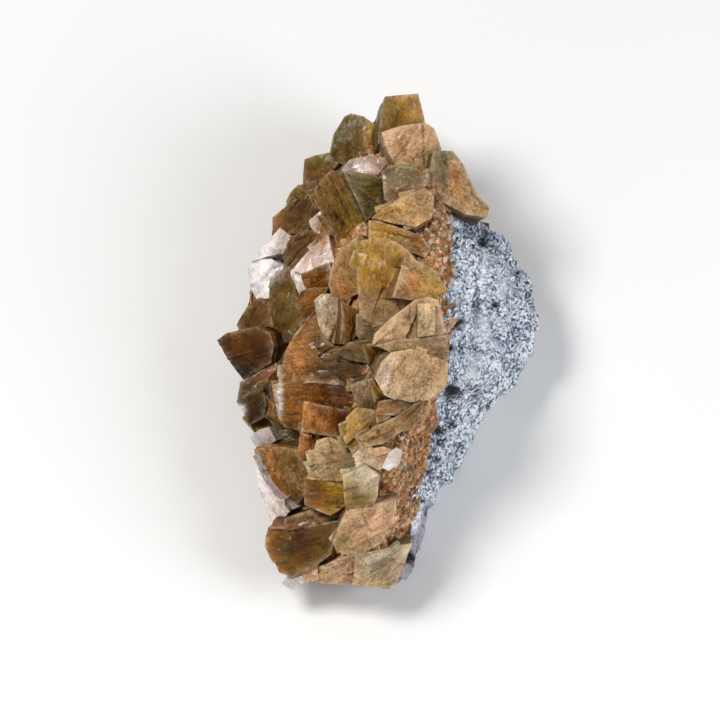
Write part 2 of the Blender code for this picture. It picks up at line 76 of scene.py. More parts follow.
camera_data = bpy.data.cameras.new("camera")
camera = bpy.data.objects.new("camera", camera_data)
bpy.context.scene.collection.objects.link(camera)
camera_data.sensor_width = SENSOR
camera_data.lens = SENSOR * CAMERA_REACH / PHOTO_SIDE
camera_data.clip_start, camera_data.clip_end = CAMERA_CLIP
camera.location = metres(drawn_to_space(*PHOTO_MIDDLE, CAMERA_REACH))
camera.rotation_euler = (math.pi / 2 - VIEW_HEIGHT, 0, 0)
bpy.context.scene.camera = camera


# The floor and the light: a pale matt sheet, one broad lamp high on the left, a softer one on the right, and
# a bright even room.
LAMP_AIM = (0, 0, 0.02)
ROOM_LIGHT = 0.28
FLOOR_REACH = 3


def soft_lamp(name, place, width, power, colour):
    """A round lamp that points at the specimen and doesn't show itself."""
    data = bpy.data.lights.new(name, "AREA")
    data.shape = "DISK"
    data.size = width
    data.energy = power
    data.color = colour
    lamp = bpy.data.objects.new(name, data)
    bpy.context.scene.collection.objects.link(lamp)
    lamp.location = place
    lamp.rotation_mode = "QUATERNION"
    lamp.rotation_quaternion = (Vector(LAMP_AIM) - Vector(place)).to_track_quat("-Z", "Y")
    lamp.visible_camera = False


soft_lamp("window", (-0.22, 0.0, 0.48), 0.18, 1.85, (1, 0.98, 0.95))
soft_lamp("sheet", (0.36, -0.16, 0.34), 0.3, 1.25, (0.95, 0.98, 1))

room = bpy.data.worlds.new("room")
room.use_nodes = True
room.node_tree.nodes["Background"].inputs["Color"].default_value = (1, 1, 1, 1)
room.node_tree.nodes["Background"].inputs["Strength"].default_value = ROOM_LIGHT
bpy.context.scene.world = room
bpy.context.scene.view_settings.view_transform = "Standard"


def add(tree, kind, inputs=None, **settings):
    """Adds a shader node, sets its properties, and gives its inputs values or links to other nodes'
    outputs."""
    made = tree.nodes.new(kind)
    for key, value in settings.items():
        setattr(made, key, value)
    for key, value in (inputs or {}).items():
        if isinstance(value, bpy.types.NodeSocket):
            tree.links.new(value, made.inputs[key])
        else:
            made.inputs[key].default_value = value
    return made


def noise(tree, vector, scale, detail=3.0, rough=0.6):
    """A noise from 0 to 1 on a vector."""
    settings = {"Vector": vector, "Scale": scale, "Detail": detail, "Roughness": rough}
    return add(tree, "ShaderNodeTexNoise", settings).outputs["Fac"]


def mixed(tree, share, first, second):
    """The first colour, with a share of the second in it."""
    return add(tree, "ShaderNodeMix", {0: share, 6: first, 7: second}, data_type="RGBA").outputs[2]


def new_material(name):
    """A material with only its Principled surface and its output."""
    material = bpy.data.materials.new(name)
    material.use_nodes = True
    tree = material.node_tree
    return material, tree, tree.nodes["Principled BSDF"]


floor_material, floor_tree, floor_surface = new_material("pale_sheet")
floor_grain = add(floor_tree, "ShaderNodeTexNoise", {"Scale": 60.0, "Detail": 4.0}).outputs["Fac"]
floor_tone = mixed(floor_tree, floor_grain, (0.86, 0.86, 0.86, 1), (0.9, 0.9, 0.9, 1))
floor_tree.links.new(floor_tone, floor_surface.inputs["Base Color"])
floor_surface.inputs["Roughness"].default_value = 0.8
floor_mesh = bpy.data.meshes.new("floor")
floor_corners = [(FLOOR_REACH * x, FLOOR_REACH * y, 0) for x, y in ((-1, -1), (1, -1), (1, 1), (-1, 1))]
floor_mesh.from_pydata(floor_corners, [], [(0, 1, 2, 3)])
floor_mesh.materials.append(floor_material)
floor = bpy.data.objects.new("floor", floor_mesh)
bpy.context.scene.collection.objects.link(floor)


# The matrix rock: a broken wedge of fine salt-and-pepper rock, white, blue-grey and black, with glittering
# grains, pits painted near black as painted shade, and a jagged edge. It carries everything else and lies on
# its flat back.

# At these places along the rock: where its right edge, its ridge and its left edge lie, and how high.
ALONG = [-35.5, -31, -26, -19, -12, -4, 4, 11, 18, 25, 30, 34]
RIGHT = [4, 7, 8, 12, 16.5, 22, 25.8, 23.2, 18, 13.5, 9, 4]
RIGHT_HEIGHT = [4, 6, 7, 8, 10, 11, 12, 12, 13, 12, 10, 8]
RIDGE = [-1, 0, 2.5, 5, 8, 9.5, 9.5, 9, 8, 6, 4, 1]
RIDGE_HEIGHT = [11, 17, 22, 26, 29, 31, 31.5, 30.5, 28, 24, 19, 13]
LEFT = [-7, -9.5, -10.5, -11, -12, -14, -14.5, -13, -10.5, -8, -5, -2]
LEFT_HEIGHT = [4, 6, 8, 9, 9, 9, 9, 10, 11, 11, 10, 8]

# How rounded its two slopes are, how far its left wall leans in, how much narrower and shorter its base is
# than its widest outline, and the rows and columns of its grid.
RIGHT_ROUND = 1.3
LEFT_ROUND = 1.7
LEFT_LEAN = 1.5
BASE_SHARE = 0.8
BASE_LENGTH = 0.95
ROCK_ROWS = 365
TOP_COLUMNS = 130
WALL_COLUMNS = 24
BASE_COLUMNS = 16

# Marks on the rock, by their places on the drawing: pits and their widths, white patches with their half
# widths and half heights, and the left edge of the smooth grey strip at the near end.
PITS = [(11.6, -7.9, 1.1), (11.3, -1.4, 0.6), (16.6, 15.2, 0.8), (13.2, 2.8, 0.5), (18.5, 5.5, 0.6),
        (9.3, -14, 0.6), (12.4, 2.2, 0.7), (21.8, 10.5, 0.4), (5.2, -33.5, 0.8), (8.2, -20.5, 0.5)]
PIT_DEPTH = 0.9
SNOW = [(16.5, 2.5, 1.3, 2.3), (16.8, 11.5, 0.8, 2.3), (12, 19, 1.4, 1.2), (5.3, -28.5, 1.5, 1.1),
        (19.5, 8, 1, 2), (15, -3.5, 1.2, 1.6)]
GREY_STRIP = [(8.6, -24.5), (7, -29), (4.6, -34), (2.6, -38)]

# The scale of the rock's grains, its whiter and darker regions with how strongly they show, and its tones.
ROCK_GRAIN = 2900.0
ROCK_REGIONS = [(900.0, 0.8), (280.0, 0.5), (95.0, 0.5)]
ROCK_TONES = [(0.08, (24, 26, 34)), (0.22, (80, 90, 108)), (0.4, (134, 147, 170)), (0.6, (180, 193, 213)),
              (0.78, (222, 229, 240)), (0.95, (254, 254, 255))]


def along(values, y):
    """One of the lists above, read at places along the rock."""
    return np.interp(y, ALONG, values)


def rock_top(x, y):
    """The rock's height over a place in plan: a rounded roof that falls from its ridge to both side
    edges."""
    ridge = along(RIDGE, y)
    right = np.clip((x - ridge) / (along(RIGHT, y) - ridge), 0, 1)
    left = np.clip((ridge - x) / (ridge - along(LEFT, y)), 0, 1)
    top = along(RIDGE_HEIGHT, y)
    right_fall = (top - along(RIGHT_HEIGHT, y)) * right**RIGHT_ROUND
    return top - (right_fall + (top - along(LEFT_HEIGHT, y)) * left**LEFT_ROUND)


def lattice_noise(points, size, seed=0):
    """Smooth noise from -1 to 1: hashed values at the corners of a cubic lattice, blended by a smooth
    step."""
    place = np.asarray(points, float) / size + 31.7 * (seed + 1)
    cell = np.floor(place).astype(np.int64)
    part = place - cell
    part = part * part * (3 - 2 * part)
    total = np.zeros(place.shape[:-1])
    for corner in np.ndindex(2, 2, 2):
        at = cell + np.array(corner)
        hashed = (at[..., 0] * 73856093) ^ (at[..., 1] * 19349663) ^ (at[..., 2] * 83492791)
        hashed = (hashed ^ (hashed >> 13)) * 1274126177 & 0x7FFFFFFF
        value = ((hashed ^ (hashed >> 15)) & 0xFFFF) / 32767.5 - 1
        weight = np.prod(np.where(np.array(corner) == 1, part, 1 - part), axis=-1)
        total += value * weight
    return total


def grid_faces(rows, columns):
    """Quads over a grid of points whose rows are rings, so the last column joins the first."""
    row = np.arange(rows - 1)[:, None]
    column = np.arange(columns)[None, :]
    after = (column + 1) % columns
    quads = np.stack(np.broadcast_arrays(row * columns + column, row * columns + after,
                                         (row + 1) * columns + after, (row + 1) * columns + column), axis=-1)
    return quads.reshape(-1, 4)


def outward(points, quads, triangles):
    """The same faces, all turned round if the volume that they enclose comes out negative."""
    halves = np.concatenate([triangles, quads[:, [0, 1, 2]], quads[:, [0, 2, 3]]])
    a, b, c = points[halves[:, 0]], points[halves[:, 1]], points[halves[:, 2]]
    if np.einsum("ij,ij->i", a, np.cross(b, c)).sum() < 0:
        return quads[:, ::-1], triangles[:, ::-1]
    return quads, triangles


def closed_skin(grid):
    """A closed skin over a grid whose rows are rings: its points with one more in the middle of each end,
    its quads, and the triangles that close the ends."""
    rows, columns = grid.shape[:2]
    points = np.concatenate([grid.reshape(-1, 3), grid[0].mean(axis=0)[None], grid[-1].mean(axis=0)[None]])
    ring = np.arange(columns)
    after = (ring + 1) % columns
    last = (rows - 1) * columns
    near = np.stack([after, ring, np.full(columns, rows * columns)], axis=-1)
    far = np.stack([last + ring, last + after, np.full(columns, rows * columns + 1)], axis=-1)
    return points, *outward(points, grid_faces(rows, columns), np.concatenate([near, far]))


def mesh_object(name, points, quads, triangles, smooth_under):
    """An object from points in millimetres, shaded smooth where its faces meet at less than an angle."""
    mesh = bpy.data.meshes.new(name)
    mesh.from_pydata(metres(points).tolist(), [], quads.tolist() + triangles.tolist())
    mesh.shade_smooth()
    mesh.set_sharp_from_angle(angle=math.radians(smooth_under))
    made = bpy.data.objects.new(name, mesh)
    bpy.context.scene.collection.objects.link(made)
    return made


def give_colours(mesh, name, colours):
    """Stores one colour for each point of a mesh, for its material to read."""
    opaque = np.column_stack([colours, np.ones(len(colours))])
    mesh.attributes.new(name, "FLOAT_COLOR", "POINT").data.foreach_set("color", opaque.ravel())


def normals_of(grid):
    """The outward direction at each point of a grid of rings: its steps round, crossed with those along."""
    around = np.roll(grid, -1, axis=1) - np.roll(grid, 1, axis=1)
    across = np.cross(np.gradient(grid, axis=0), around)
    return across / np.maximum(np.linalg.norm(across, axis=-1, keepdims=True), 1e-9)


def broken(points):
    """The rock's chips: crossing waves of two lengths push each point about, and die away at the base."""
    x, y, z = np.moveaxis(points, -1, 0)
    coarse = np.stack([np.sin(y / 2.9 + z / 3.7), np.sin(x / 3.1 - z / 2.7), np.sin(x / 3.3 + y / 2.3)],
                      axis=-1)
    fine = np.stack([np.sin(y * 1.3 - z), np.sin(x * 1.1 + z * 1.4), np.sin(x * 1.5 - y * 1.2)], axis=-1)
    firm = np.clip(z / 3, 0, 1)[..., None]
    return points + (coarse * 0.6 + fine * 0.5) * firm


def rock_marks(points):
    """How far each point lies in a pit, in the smooth grey strip and in a white patch. Each pit and patch is
    a bell with a ragged edge."""
    u, v = on_drawing(points)[:2]
    ragged = 1 + 0.6 * lattice_noise(points, 0.8, 7)
    pits = sum(np.exp(-((u - a) ** 2 + (v - b) ** 2) / (wide * 0.75) ** 2 * ragged) for a, b, wide in PITS)
    snow = sum(np.exp(-(((u - a) / wide) ** 2 + ((v - b) / tall) ** 2) * ragged) for a, b, wide, tall in SNOW)
    strip_u, strip_v = np.array(GREY_STRIP[::-1]).T
    middle = np.interp(v, strip_v, strip_u)
    strip = np.clip((u - middle + 0.8) / 0.5, 0, 1) * np.clip((GREY_STRIP[0][1] - v) / 1.5, 0, 1)
    return np.clip(np.stack([3.5 * pits, strip, snow], axis=-1), 0, 1)


def rock_surface():
    """Each row is one cross-section: over the top from right to left, down the left wall, along the base, up
    the right wall. The crossing waves and three sizes of lattice noise then roughen it."""
    y = np.linspace(ALONG[0], ALONG[-1], ROCK_ROWS)[:, None]
    left, right = along(LEFT, y), along(RIGHT, y)
    left_height, right_height = along(LEFT_HEIGHT, y), along(RIGHT_HEIGHT, y)
    across = right + (left - right) * np.linspace(0, 1, TOP_COLUMNS)[None, :]
    top = np.stack(np.broadcast_arrays(across, y, rock_top(across, y)), axis=-1)
    fall = np.linspace(0, 1, WALL_COLUMNS)[None, 1:-1]
    left_wall = np.stack(np.broadcast_arrays(left + LEFT_LEAN * fall, y, left_height * (1 - fall)), axis=-1)
    base = np.linspace(0, 1, BASE_COLUMNS)[None, :]
    base = left + LEFT_LEAN + (right * BASE_SHARE - left - LEFT_LEAN) * base
    base = np.stack(np.broadcast_arrays(base, y * BASE_LENGTH, np.zeros_like(base)), axis=-1)
    spread = BASE_SHARE + (1 - BASE_SHARE) * fall
    right_wall = np.stack(np.broadcast_arrays(right * spread, y, right_height * fall), axis=-1)
    skin = broken(np.concatenate([top, left_wall, base, right_wall], axis=1))
    out = normals_of(skin)
    firm = np.clip(skin[..., 2] / 2, 0, 1)
    chips = 0.45 * lattice_noise(skin, 2.2, 1) + 0.22 * lattice_noise(skin, 0.9, 2)
    chips = chips + 0.1 * lattice_noise(skin, 0.45, 3)
    chips = chips - PIT_DEPTH * rock_marks(skin)[..., 0] * (out[..., 2] > 0)
    return skin + out * (chips * firm)[..., None]


def figured(tree, kind, first, second, third=0.0):
    """The result of one piece of arithmetic."""
    return add(tree, "ShaderNodeMath", {0: first, 1: second, 2: third}, operation=kind).outputs[0]


def band(tree, value, low, high, to_low=0.0, to_high=1.0):
    """A value stretched from one range to another, and kept inside it."""
    ends = {"Value": value, "From Min": low, "From Max": high, "To Min": to_low, "To Max": to_high}
    return add(tree, "ShaderNodeMapRange", ends).outputs[0]


def wandering(tree, place, scale, share):
    """A place pushed about by noise, so that a pattern on it gets crooked borders."""
    drift = add(tree, "ShaderNodeTexNoise", {"Vector": place, "Scale": scale, "Detail": 3.0}).outputs["Color"]
    return add(tree, "ShaderNodeMix", {0: share, 4: place, 5: drift}, data_type="VECTOR").outputs[1]


def linear(*srgb):
    """A colour given as 0 to 255 on a screen, as light."""
    return tuple((c / 255) ** 2.2 for c in srgb)


def paint(*srgb):
    """The same as an opaque colour for a shader."""
    return (*linear(*srgb), 1)


def tones(tree, value, stops):
    """A colour that runs through the given ones, each at its own value."""
    ramp = add(tree, "ShaderNodeValToRGB", {"Fac": value})
    marks = ramp.color_ramp.elements
    marks.remove(marks[1])
    marks[0].position = stops[0][0]
    marks[0].color = paint(*stops[0][1])
    for position, colour in stops[1:]:
        marks.new(position).color = paint(*colour)
    return ramp.outputs["Color"]


def roughened(tree, surface, height, strength, depth):
    """Gives a surface a relief."""
    relief = add(tree, "ShaderNodeBump", {"Height": height, "Strength": strength, "Distance": depth})
    tree.links.new(relief.outputs["Normal"], surface.inputs["Normal"])


def rock_material():
    """Grains of white, blue-grey and black at two sizes, whiter and darker regions, and glittering
    facets."""
    material, tree, surface = new_material("salt_and_pepper_rock")
    place = add(tree, "ShaderNodeTexCoord").outputs["Object"]
    bent = wandering(tree, place, 900.0, 0.0007)
    grains = add(tree, "ShaderNodeTexVoronoi", {"Vector": bent, "Scale": ROCK_GRAIN}).outputs["Color"]
    grains = add(tree, "ShaderNodeSeparateColor", {"Color": grains}).outputs
    clouds = noise(tree, place, ROCK_GRAIN, 3.0, 0.7)
    tone = figured(tree, "MULTIPLY_ADD", grains["Red"], 0.55, clouds)
    for scale, amount in ROCK_REGIONS:
        tone = figured(tree, "MULTIPLY_ADD", noise(tree, place, scale, 3.0, 0.5), amount, tone)
    colour = tones(tree, band(tree, tone, 1.3, 1.98), ROCK_TONES)
    marks = add(tree, "ShaderNodeAttribute", attribute_name="marks").outputs["Color"]
    marks = add(tree, "ShaderNodeSeparateColor", {"Color": marks}).outputs
    strip = band(tree, noise(tree, place, 700.0, 4.0, 0.5), 0.4, 0.46)
    strip = mixed(tree, strip, paint(26, 24, 32), paint(158, 148, 166))
    # White patches, the grey strip, and the pits painted near black as painted shade in the hollows.
    for mark, amount, tint in (("Blue", 0.45, paint(244, 247, 252)), ("Green", 0.85, strip),
                               ("Red", 1.0, paint(3, 3, 5))):
        share = figured(tree, "MULTIPLY", marks[mark], amount)
        colour = mixed(tree, share, colour, tint)
    tree.links.new(colour, surface.inputs["Base Color"])
    tree.links.new(band(tree, grains["Green"], 0.0, 1.0, 0.18, 0.75), surface.inputs["Roughness"])
    roughened(tree, surface, figured(tree, "MULTIPLY_ADD", grains["Blue"], 0.6, clouds), 0.8, 0.25 * MM)
    return material


rock_skin = closed_skin(rock_surface())
rock = mesh_object("salt_and_pepper_rock", *rock_skin, smooth_under=60)
give_colours(rock.data, "marks", rock_marks(rock_skin[0]))
rock.data.materials.append(rock_material())
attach(rock, "root")
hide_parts("matrix_rock")


# The crust: massive siderite that the crystals sprang from, iron-stained orange-brown and granular where it
# shows between the crystals and beside the bare rock. It has grown on the rock, and ends at the seam.

# Where its seam with the bare rock runs, at the same places along, how thick it is, how high its foot
# stands, how its near end is cut short, and how much longer than the rock it is drawn.
SEAM = [4.5, 4.5, 6.6, 8.4, 10.6, 12, 12, 11.5, 11.5, 16, 16, 16]
CRUST = 2.5
CRUST_FOOT = 5.0
NEAR_CUT = 0.7
END_SWELL = 1.06
CRUST_ROWS = 325
CRUST_COLUMNS = 200
CRUST_WALL_COLUMNS = 14
CRUST_TONES = [(0.4, (96, 58, 28)), (0.55, (164, 102, 56)), (0.68, (188, 130, 84)), (0.82, (206, 164, 122)),
               (0.98, (230, 210, 188))]


def crust_surface():
    """Each row is one cross-section: from the seam over the ridge to the left wall, and back through the
    rock. Lumps of lattice noise stand out of it."""
    y = np.linspace(ALONG[0] - CRUST + NEAR_CUT, ALONG[-1] + CRUST, CRUST_ROWS)[:, None]
    inner = np.clip(y / END_SWELL, ALONG[0], ALONG[-1])
    seam = np.minimum(along(SEAM, inner), along(RIGHT, inner) - 0.5)
    left = along(LEFT, inner) - CRUST
    across = seam + (left - seam) * np.linspace(0, 1, CRUST_COLUMNS)[None, :]
    rise = CRUST * np.clip((seam - across) / 3, -0.3, 1)
    height = np.maximum(rock_top(np.maximum(across, left + CRUST), inner) + rise, CRUST_FOOT + 2)
    top = np.stack(np.broadcast_arrays(across, y, height), axis=-1)
    fall = np.linspace(0, 1, CRUST_WALL_COLUMNS)[None, 1:]
    wall_height = height[:, -1:] + (CRUST_FOOT - height[:, -1:]) * fall
    wall = np.stack(np.broadcast_arrays(left + 0.4 * fall, y, wall_height), axis=-1)
    foot = [np.concatenate([scale * edge, y, np.full_like(y, CRUST_FOOT - drop)], axis=1)[:, None]
            for scale, edge, drop in ((0.4, left, 0.5), (0.3, seam, 0.3))]
    skin = np.concatenate([top, wall, *foot], axis=1)
    lumps = 0.42 * lattice_noise(skin, 1.7, 4) + 0.3 * lattice_noise(skin, 0.8, 5)
    lumps = lumps + 0.12 * lattice_noise(skin, 0.4, 6)
    return skin + normals_of(skin) * lumps[..., None]


def crust_material():
    """Rust, orange and tan granules with pale crumbs and dark hollows."""
    material, tree, surface = new_material("iron_stained_crust")
    place = add(tree, "ShaderNodeTexCoord").outputs["Object"]
    granules = add(tree, "ShaderNodeTexVoronoi", {"Vector": place, "Scale": 1500.0}).outputs
    red = add(tree, "ShaderNodeSeparateColor", {"Color": granules["Color"]}).outputs["Red"]
    clouds = noise(tree, place, 420.0, 6.0, 0.7)
    colour = tones(tree, figured(tree, "MULTIPLY_ADD", red, 0.35, clouds), CRUST_TONES)
    tree.links.new(colour, surface.inputs["Base Color"])
    surface.inputs["Roughness"].default_value = 0.62
    height = figured(tree, "MULTIPLY_ADD", granules["Distance"], 1.5, clouds)
    roughened(tree, surface, height, 0.7, 0.3 * MM)
    return material


crust_skin = crust_surface()
crust = mesh_object("iron_stained_crust", *closed_skin(crust_skin), smooth_under=60)
crust.data.materials.append(crust_material())
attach(crust, "root")
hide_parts("siderite_crystals")


# The siderite crystals: blocky, slightly curved rhombs of iron carbonate, grown together and rooted in the
# crust. Each is a block with a faceted, stepped and striated face, chipped edges, and sides layered like a
# stack of plates.
SHADES = {
    "honey": (166, 122, 54), "amber": (148, 92, 22), "deep": (104, 62, 6), "orange": (178, 112, 52),
    "golden": (158, 116, 22), "olive": (112, 88, 32), "moss": (98, 84, 30), "tan": (168, 131, 88),
    "sand": (190, 156, 114), "cream": (206, 186, 154), "mauve": (126, 98, 72), "slate": (110, 96, 66),
    "brown": (118, 80, 38), "bark": (88, 62, 26), "dark": (36, 16, 2), "russet": (128, 80, 26),
    "peach": (196, 150, 116), "pearl": (224, 202, 194), "white": (246, 240, 238), "rust": (164, 92, 42),
    "toffee": (148, 98, 52), "cola": (80, 42, 4),
}

# How a block stands: how far its face rises for each step of its lift, how much wider than the face its
# root is, and how the root leans: towards the ridge, and after the face's tilt. The crust's depth under it
# is read a little nearer the drawing's middle, no further up than a limit, by steps along the line of
# sight.
STAND = 0.75
ROOT_SPREAD = 1.12
ROOT_AIM = np.array([4, 0])
ROOT_PULL = np.array([0.02, 0.01])
OWN_LEAN = 0.45
ROOT_SHARE = 0.92
ROOT_LIMIT = 28.5
SIGHT_STEPS = np.arange(8, -60, -0.2)

# A block's skin, in millimetres: its grid's cell, how far its face grows past its drawn corners, how far
# down its sides the rows lie close, their distances there and below, how far the relief reaches down the
# sides and the pale rim, worn and painted edge highlight, reaches both ways, the face's crown, the size of
# its facets, and how far the bevels may cut it down.
CELL = 0.3
FACE_GROWTH = 0.16
SIDE_SEEN = 4.6
SIDE_CELL = 0.42
DEEP_CELL = 0.9
RELIEF_REACH = 1.4
RIM_ON_FACE = 0.45
RIM_ON_SIDES = 0.5
FACE_CROWN = 0.21
FACET_SIZE = 3.2
BEVEL_LIMIT = 0.9

# The outline of the whole specimen on the drawing, near end first and up the left side.
OUTLINE = [
    (2, -38.3), (-5, -37.8), (-13, -38.5), (-17, -34), (-16.5, -26), (-19, -18), (-21.5, -9.5), (-20.5, -6),
    (-24.5, 0), (-21.5, 2.5), (-19.5, 7.5), (-20.5, 11), (-17.5, 14.5), (-16, 19), (-12, 24), (-11, 28),
    (-7.5, 29), (-5, 34.5), (-2, 34.5), (1, 32.5), (1.5, 37.5), (6.5, 38), (9, 32.5), (10, 29.5), (12, 29),
    (14.5, 24.5), (17.5, 20.5), (18.5, 16), (21.5, 13), (25, 7.5), (23, -1.5), (21.5, -6), (16, -13),
    (11, -19), (7, -27), (4, -35),
]

# The crystals whose edges are clean, with no small crystals grown on.
CLEAN_EDGES = ("summit", "cream_bark", "bark_window", "fan", "fan_blade_left", "fan_blade_right",
               "salmon_block", "silver_upper", "silver_lower", "olive_drum", "block_window", "tan_beam",
               "fibrous_strip", "grey_stub")

# The crystals whose growth lines are stronger than their neighbours', and how strong.
FAINT_BANDS = 0.4
BANDED = {"broad_block": 1.1, "peach_plate": 0.9, "lens_flank": 1.0, "left_leaf": 0.9,
          "foot_ledge_right": 0.9, "block_rough": 0.9, "arrow": 0.9, "block_right": 1.0, "fan": 0.7,
          "striped_plate": 1.9, "silver_tail": 2.2, "fibrous_strip": 1.3, "layered_keel": 1.4,
          "right_spur": 1.3, "slate_green": 1.3, "great_plate_upper": 1.1, "great_plate_lower": 1.1,
          "ember_top": 0.8, "great_lens": 0.9, "block_window": 1.4, "tan_beam": 1.4, "silver_blade": 1.4,
          "upper_laths": 1.2}

# What each kind of crystal shows, in millimetres: the rise and spacing of the steps on its face, its
# striations, how deep it has crumbled along its cleavage, its chipped edge, the height of its cleaved
# facets, and how far its layers stand out at the sides and how thick they are. The bevel is the steepest
# slope of the broad facets that cut its face down at the edges.
KINDS = {
    "clear": {"step": 0.08, "pitch": 3.6, "ridge": 0.02, "crumble": 0.2, "bevel": 0.26, "chip": 0.25,
              "facet": 0.34, "layer": 0.1, "plate": 1.1},
    "frosted": {"step": 0.12, "pitch": 3.2, "ridge": 0.03, "crumble": 0.34, "bevel": 0.3, "chip": 0.5,
                "facet": 0.42, "layer": 0.22, "plate": 0.9},
    "layered": {"step": 0.12, "pitch": 2.8, "ridge": 0.05, "crumble": 0.3, "bevel": 0.14, "chip": 0.4,
                "facet": 0.34, "layer": 0.26, "plate": 0.7},
    "pearly": {"step": 0.22, "pitch": 2.0, "ridge": 0.05, "crumble": 0.26, "bevel": 0.25, "chip": 0.35,
               "facet": 0.55, "layer": 0.15, "plate": 0.8},
}


def shade(name):
    """One of the crystals' colours, as light."""
    return np.array(linear(*SHADES[name]))


def inside(u, v, ring):
    """Whether a place on the drawing lies in a ring, by counting the ring's edges that pass to its right."""
    start = np.array(ring, float)
    end = np.roll(start, -1, axis=0)
    spans = (start[:, 1] > v) != (end[:, 1] > v)
    start, run = start[spans], (end - start)[spans]
    return np.sum(u < start[:, 0] + (v - start[:, 1]) * run[:, 0] / run[:, 1]) % 2 == 1


def depth_of_crust(u, v):
    """How far behind the drawing the crust lies at one place: the first step of the sight line under it."""
    sight = drawn_to_space(u, v, SIGHT_STEPS)
    under = sight[:, 2] < rock_top(sight[:, 0], sight[:, 1]) + CRUST
    return SIGHT_STEPS[np.argmax(under)] if under.any() else SIGHT_STEPS[-1]


def face_plane(lift, turn, tip, corners):
    """A face's corners and middle on the drawing, how far the middle stands towards the viewer, and its
    slopes."""
    face = np.array(corners, float)
    middle = face.mean(axis=0)
    level = depth_of_crust(middle[0] * ROOT_SHARE, min(middle[1] * ROOT_SHARE, ROOT_LIMIT)) + lift * STAND
    return face, middle, level, -np.tan(np.radians([turn, tip]))


def crystal_rings(lift, turn, tip, depth, corners, root=ROOT_SPREAD):
    """The corners of a block's face and of its root, in space. The face has its height over the crust and
    its tilt; the root is the same shape, of another width, leaning in towards the ridge."""
    face, middle, level, slope = face_plane(lift, turn, tip, corners)
    front = level + (face - middle) @ slope
    inward = ROOT_PULL * (ROOT_AIM - middle) + OWN_LEAN * slope
    back = middle + (face - middle) * root + inward * depth
    return (drawn_to_space(face[:, 0], face[:, 1], front),
            drawn_to_space(back[:, 0], back[:, 1], front - depth))


def dense_ring(ring, counts):
    """A ring with this many evenly spaced points along each of its edges, its corners kept."""
    edge = np.repeat(np.arange(len(ring)), counts)
    part = np.arange(counts.sum()) - np.repeat(np.cumsum(counts) - counts, counts)
    part = (part / np.repeat(counts, counts))[:, None]
    return ring[edge] + (np.roll(ring, -1, axis=0) - ring)[edge] * part


def unit(vectors):
    """Vectors with their lengths made one."""
    return vectors / np.maximum(np.linalg.norm(vectors, axis=-1, keepdims=True), 1e-9)


def face_axes(ring, away_from_root, grain):
    """The directions out of a face, right and up in it, and along and across its grain."""
    out = unit(np.cross(ring, np.roll(ring, -1, axis=0)).sum(axis=0))
    out = out * np.sign(away_from_root @ out)
    right = unit(np.array([1, 0, 0]) - out[0] * out)
    up = np.cross(out, right)
    turned = math.radians(grain)
    along_grain = math.cos(turned) * right + math.sin(turned) * up
    return out, right, up, along_grain, np.cross(out, along_grain)


def cleaved(a, b, reach, dice):
    """Facets from -1 to 1: the face is parted into polygons longer along the grain, each a plane with its
    own tilt and height."""
    count = int(np.clip((reach / FACET_SIZE) ** 2 * 3, 3, 26))
    middles = dice.uniform(-reach, reach, (count, 2))
    tilts = dice.normal(0, 0.16, (count, 2))
    heights = dice.uniform(-0.35, 0.35, count)
    away = np.stack([a, b], axis=-1)[..., None, :] - middles
    nearest = np.argmin((away[..., 0] * 0.55) ** 2 + away[..., 1] ** 2, axis=-1)
    away = np.take_along_axis(away, nearest[..., None, None], axis=-2)[..., 0, :]
    return np.clip(np.sum(away * tilts[nearest], axis=-1) + heights[nearest], -1, 1)


def face_relief(skin, a, b, reach, form, seed, dice):
    """How far a face stands out, from its places along and across the grain: sawtooth steps and stretched
    noise across the grain, two sizes of unevenness, cells that have crumbled to their own depths, and a
    crown that four broad bevels cut down and cleavage parts into facets."""
    steps = b / form["pitch"] + 0.8 * lattice_noise(skin, 5, seed + 4) + dice.uniform(0, 1)
    ledge = form["step"] * (np.floor(steps) + np.clip((steps % 1 - 0.8) / 0.2, 0, 1) - steps)
    ledge = ledge * np.clip(0.5 + 1.2 * lattice_noise(skin, 3.5, seed + 10), 0, 1)
    streaks = np.stack([a / 5 + seed, b / 0.55, np.full_like(a, seed * 0.37)], axis=-1)
    relief = ledge + form["ridge"] * lattice_noise(streaks, 1) + 0.08 * lattice_noise(skin, 2.6, seed + 5)
    relief = relief + 0.03 * lattice_noise(skin, 0.7, seed + 6)
    wander = 0.5 * lattice_noise(skin, 1.6, seed + 11)
    cells = np.stack([np.floor((a + 0.35 * b) / 1.5 + wander), np.floor(b / 0.8 - wander),
                      np.full_like(a, seed)], axis=-1) + 0.5
    broken_off = np.clip(2.2 * lattice_noise(skin, 3, seed + 12) - 0.15, 0, 1)
    relief = relief - form["crumble"] * broken_off * (0.5 + 0.5 * lattice_noise(cells, 1.013, 5))
    bevels = 0
    for bearing in dice.uniform(0, 2 * math.pi) + np.array([0, 1.9, 3.6, 4.9]):
        past = a * math.cos(bearing) + b * math.sin(bearing) - dice.uniform(0.15, 0.65) * reach
        bevels = np.maximum(bevels, past * dice.uniform(0.3, 1) * form["bevel"])
    relief = relief + FACE_CROWN - np.minimum(bevels, BEVEL_LIMIT)
    return relief + form["facet"] * cleaved(a, b, reach, dice)


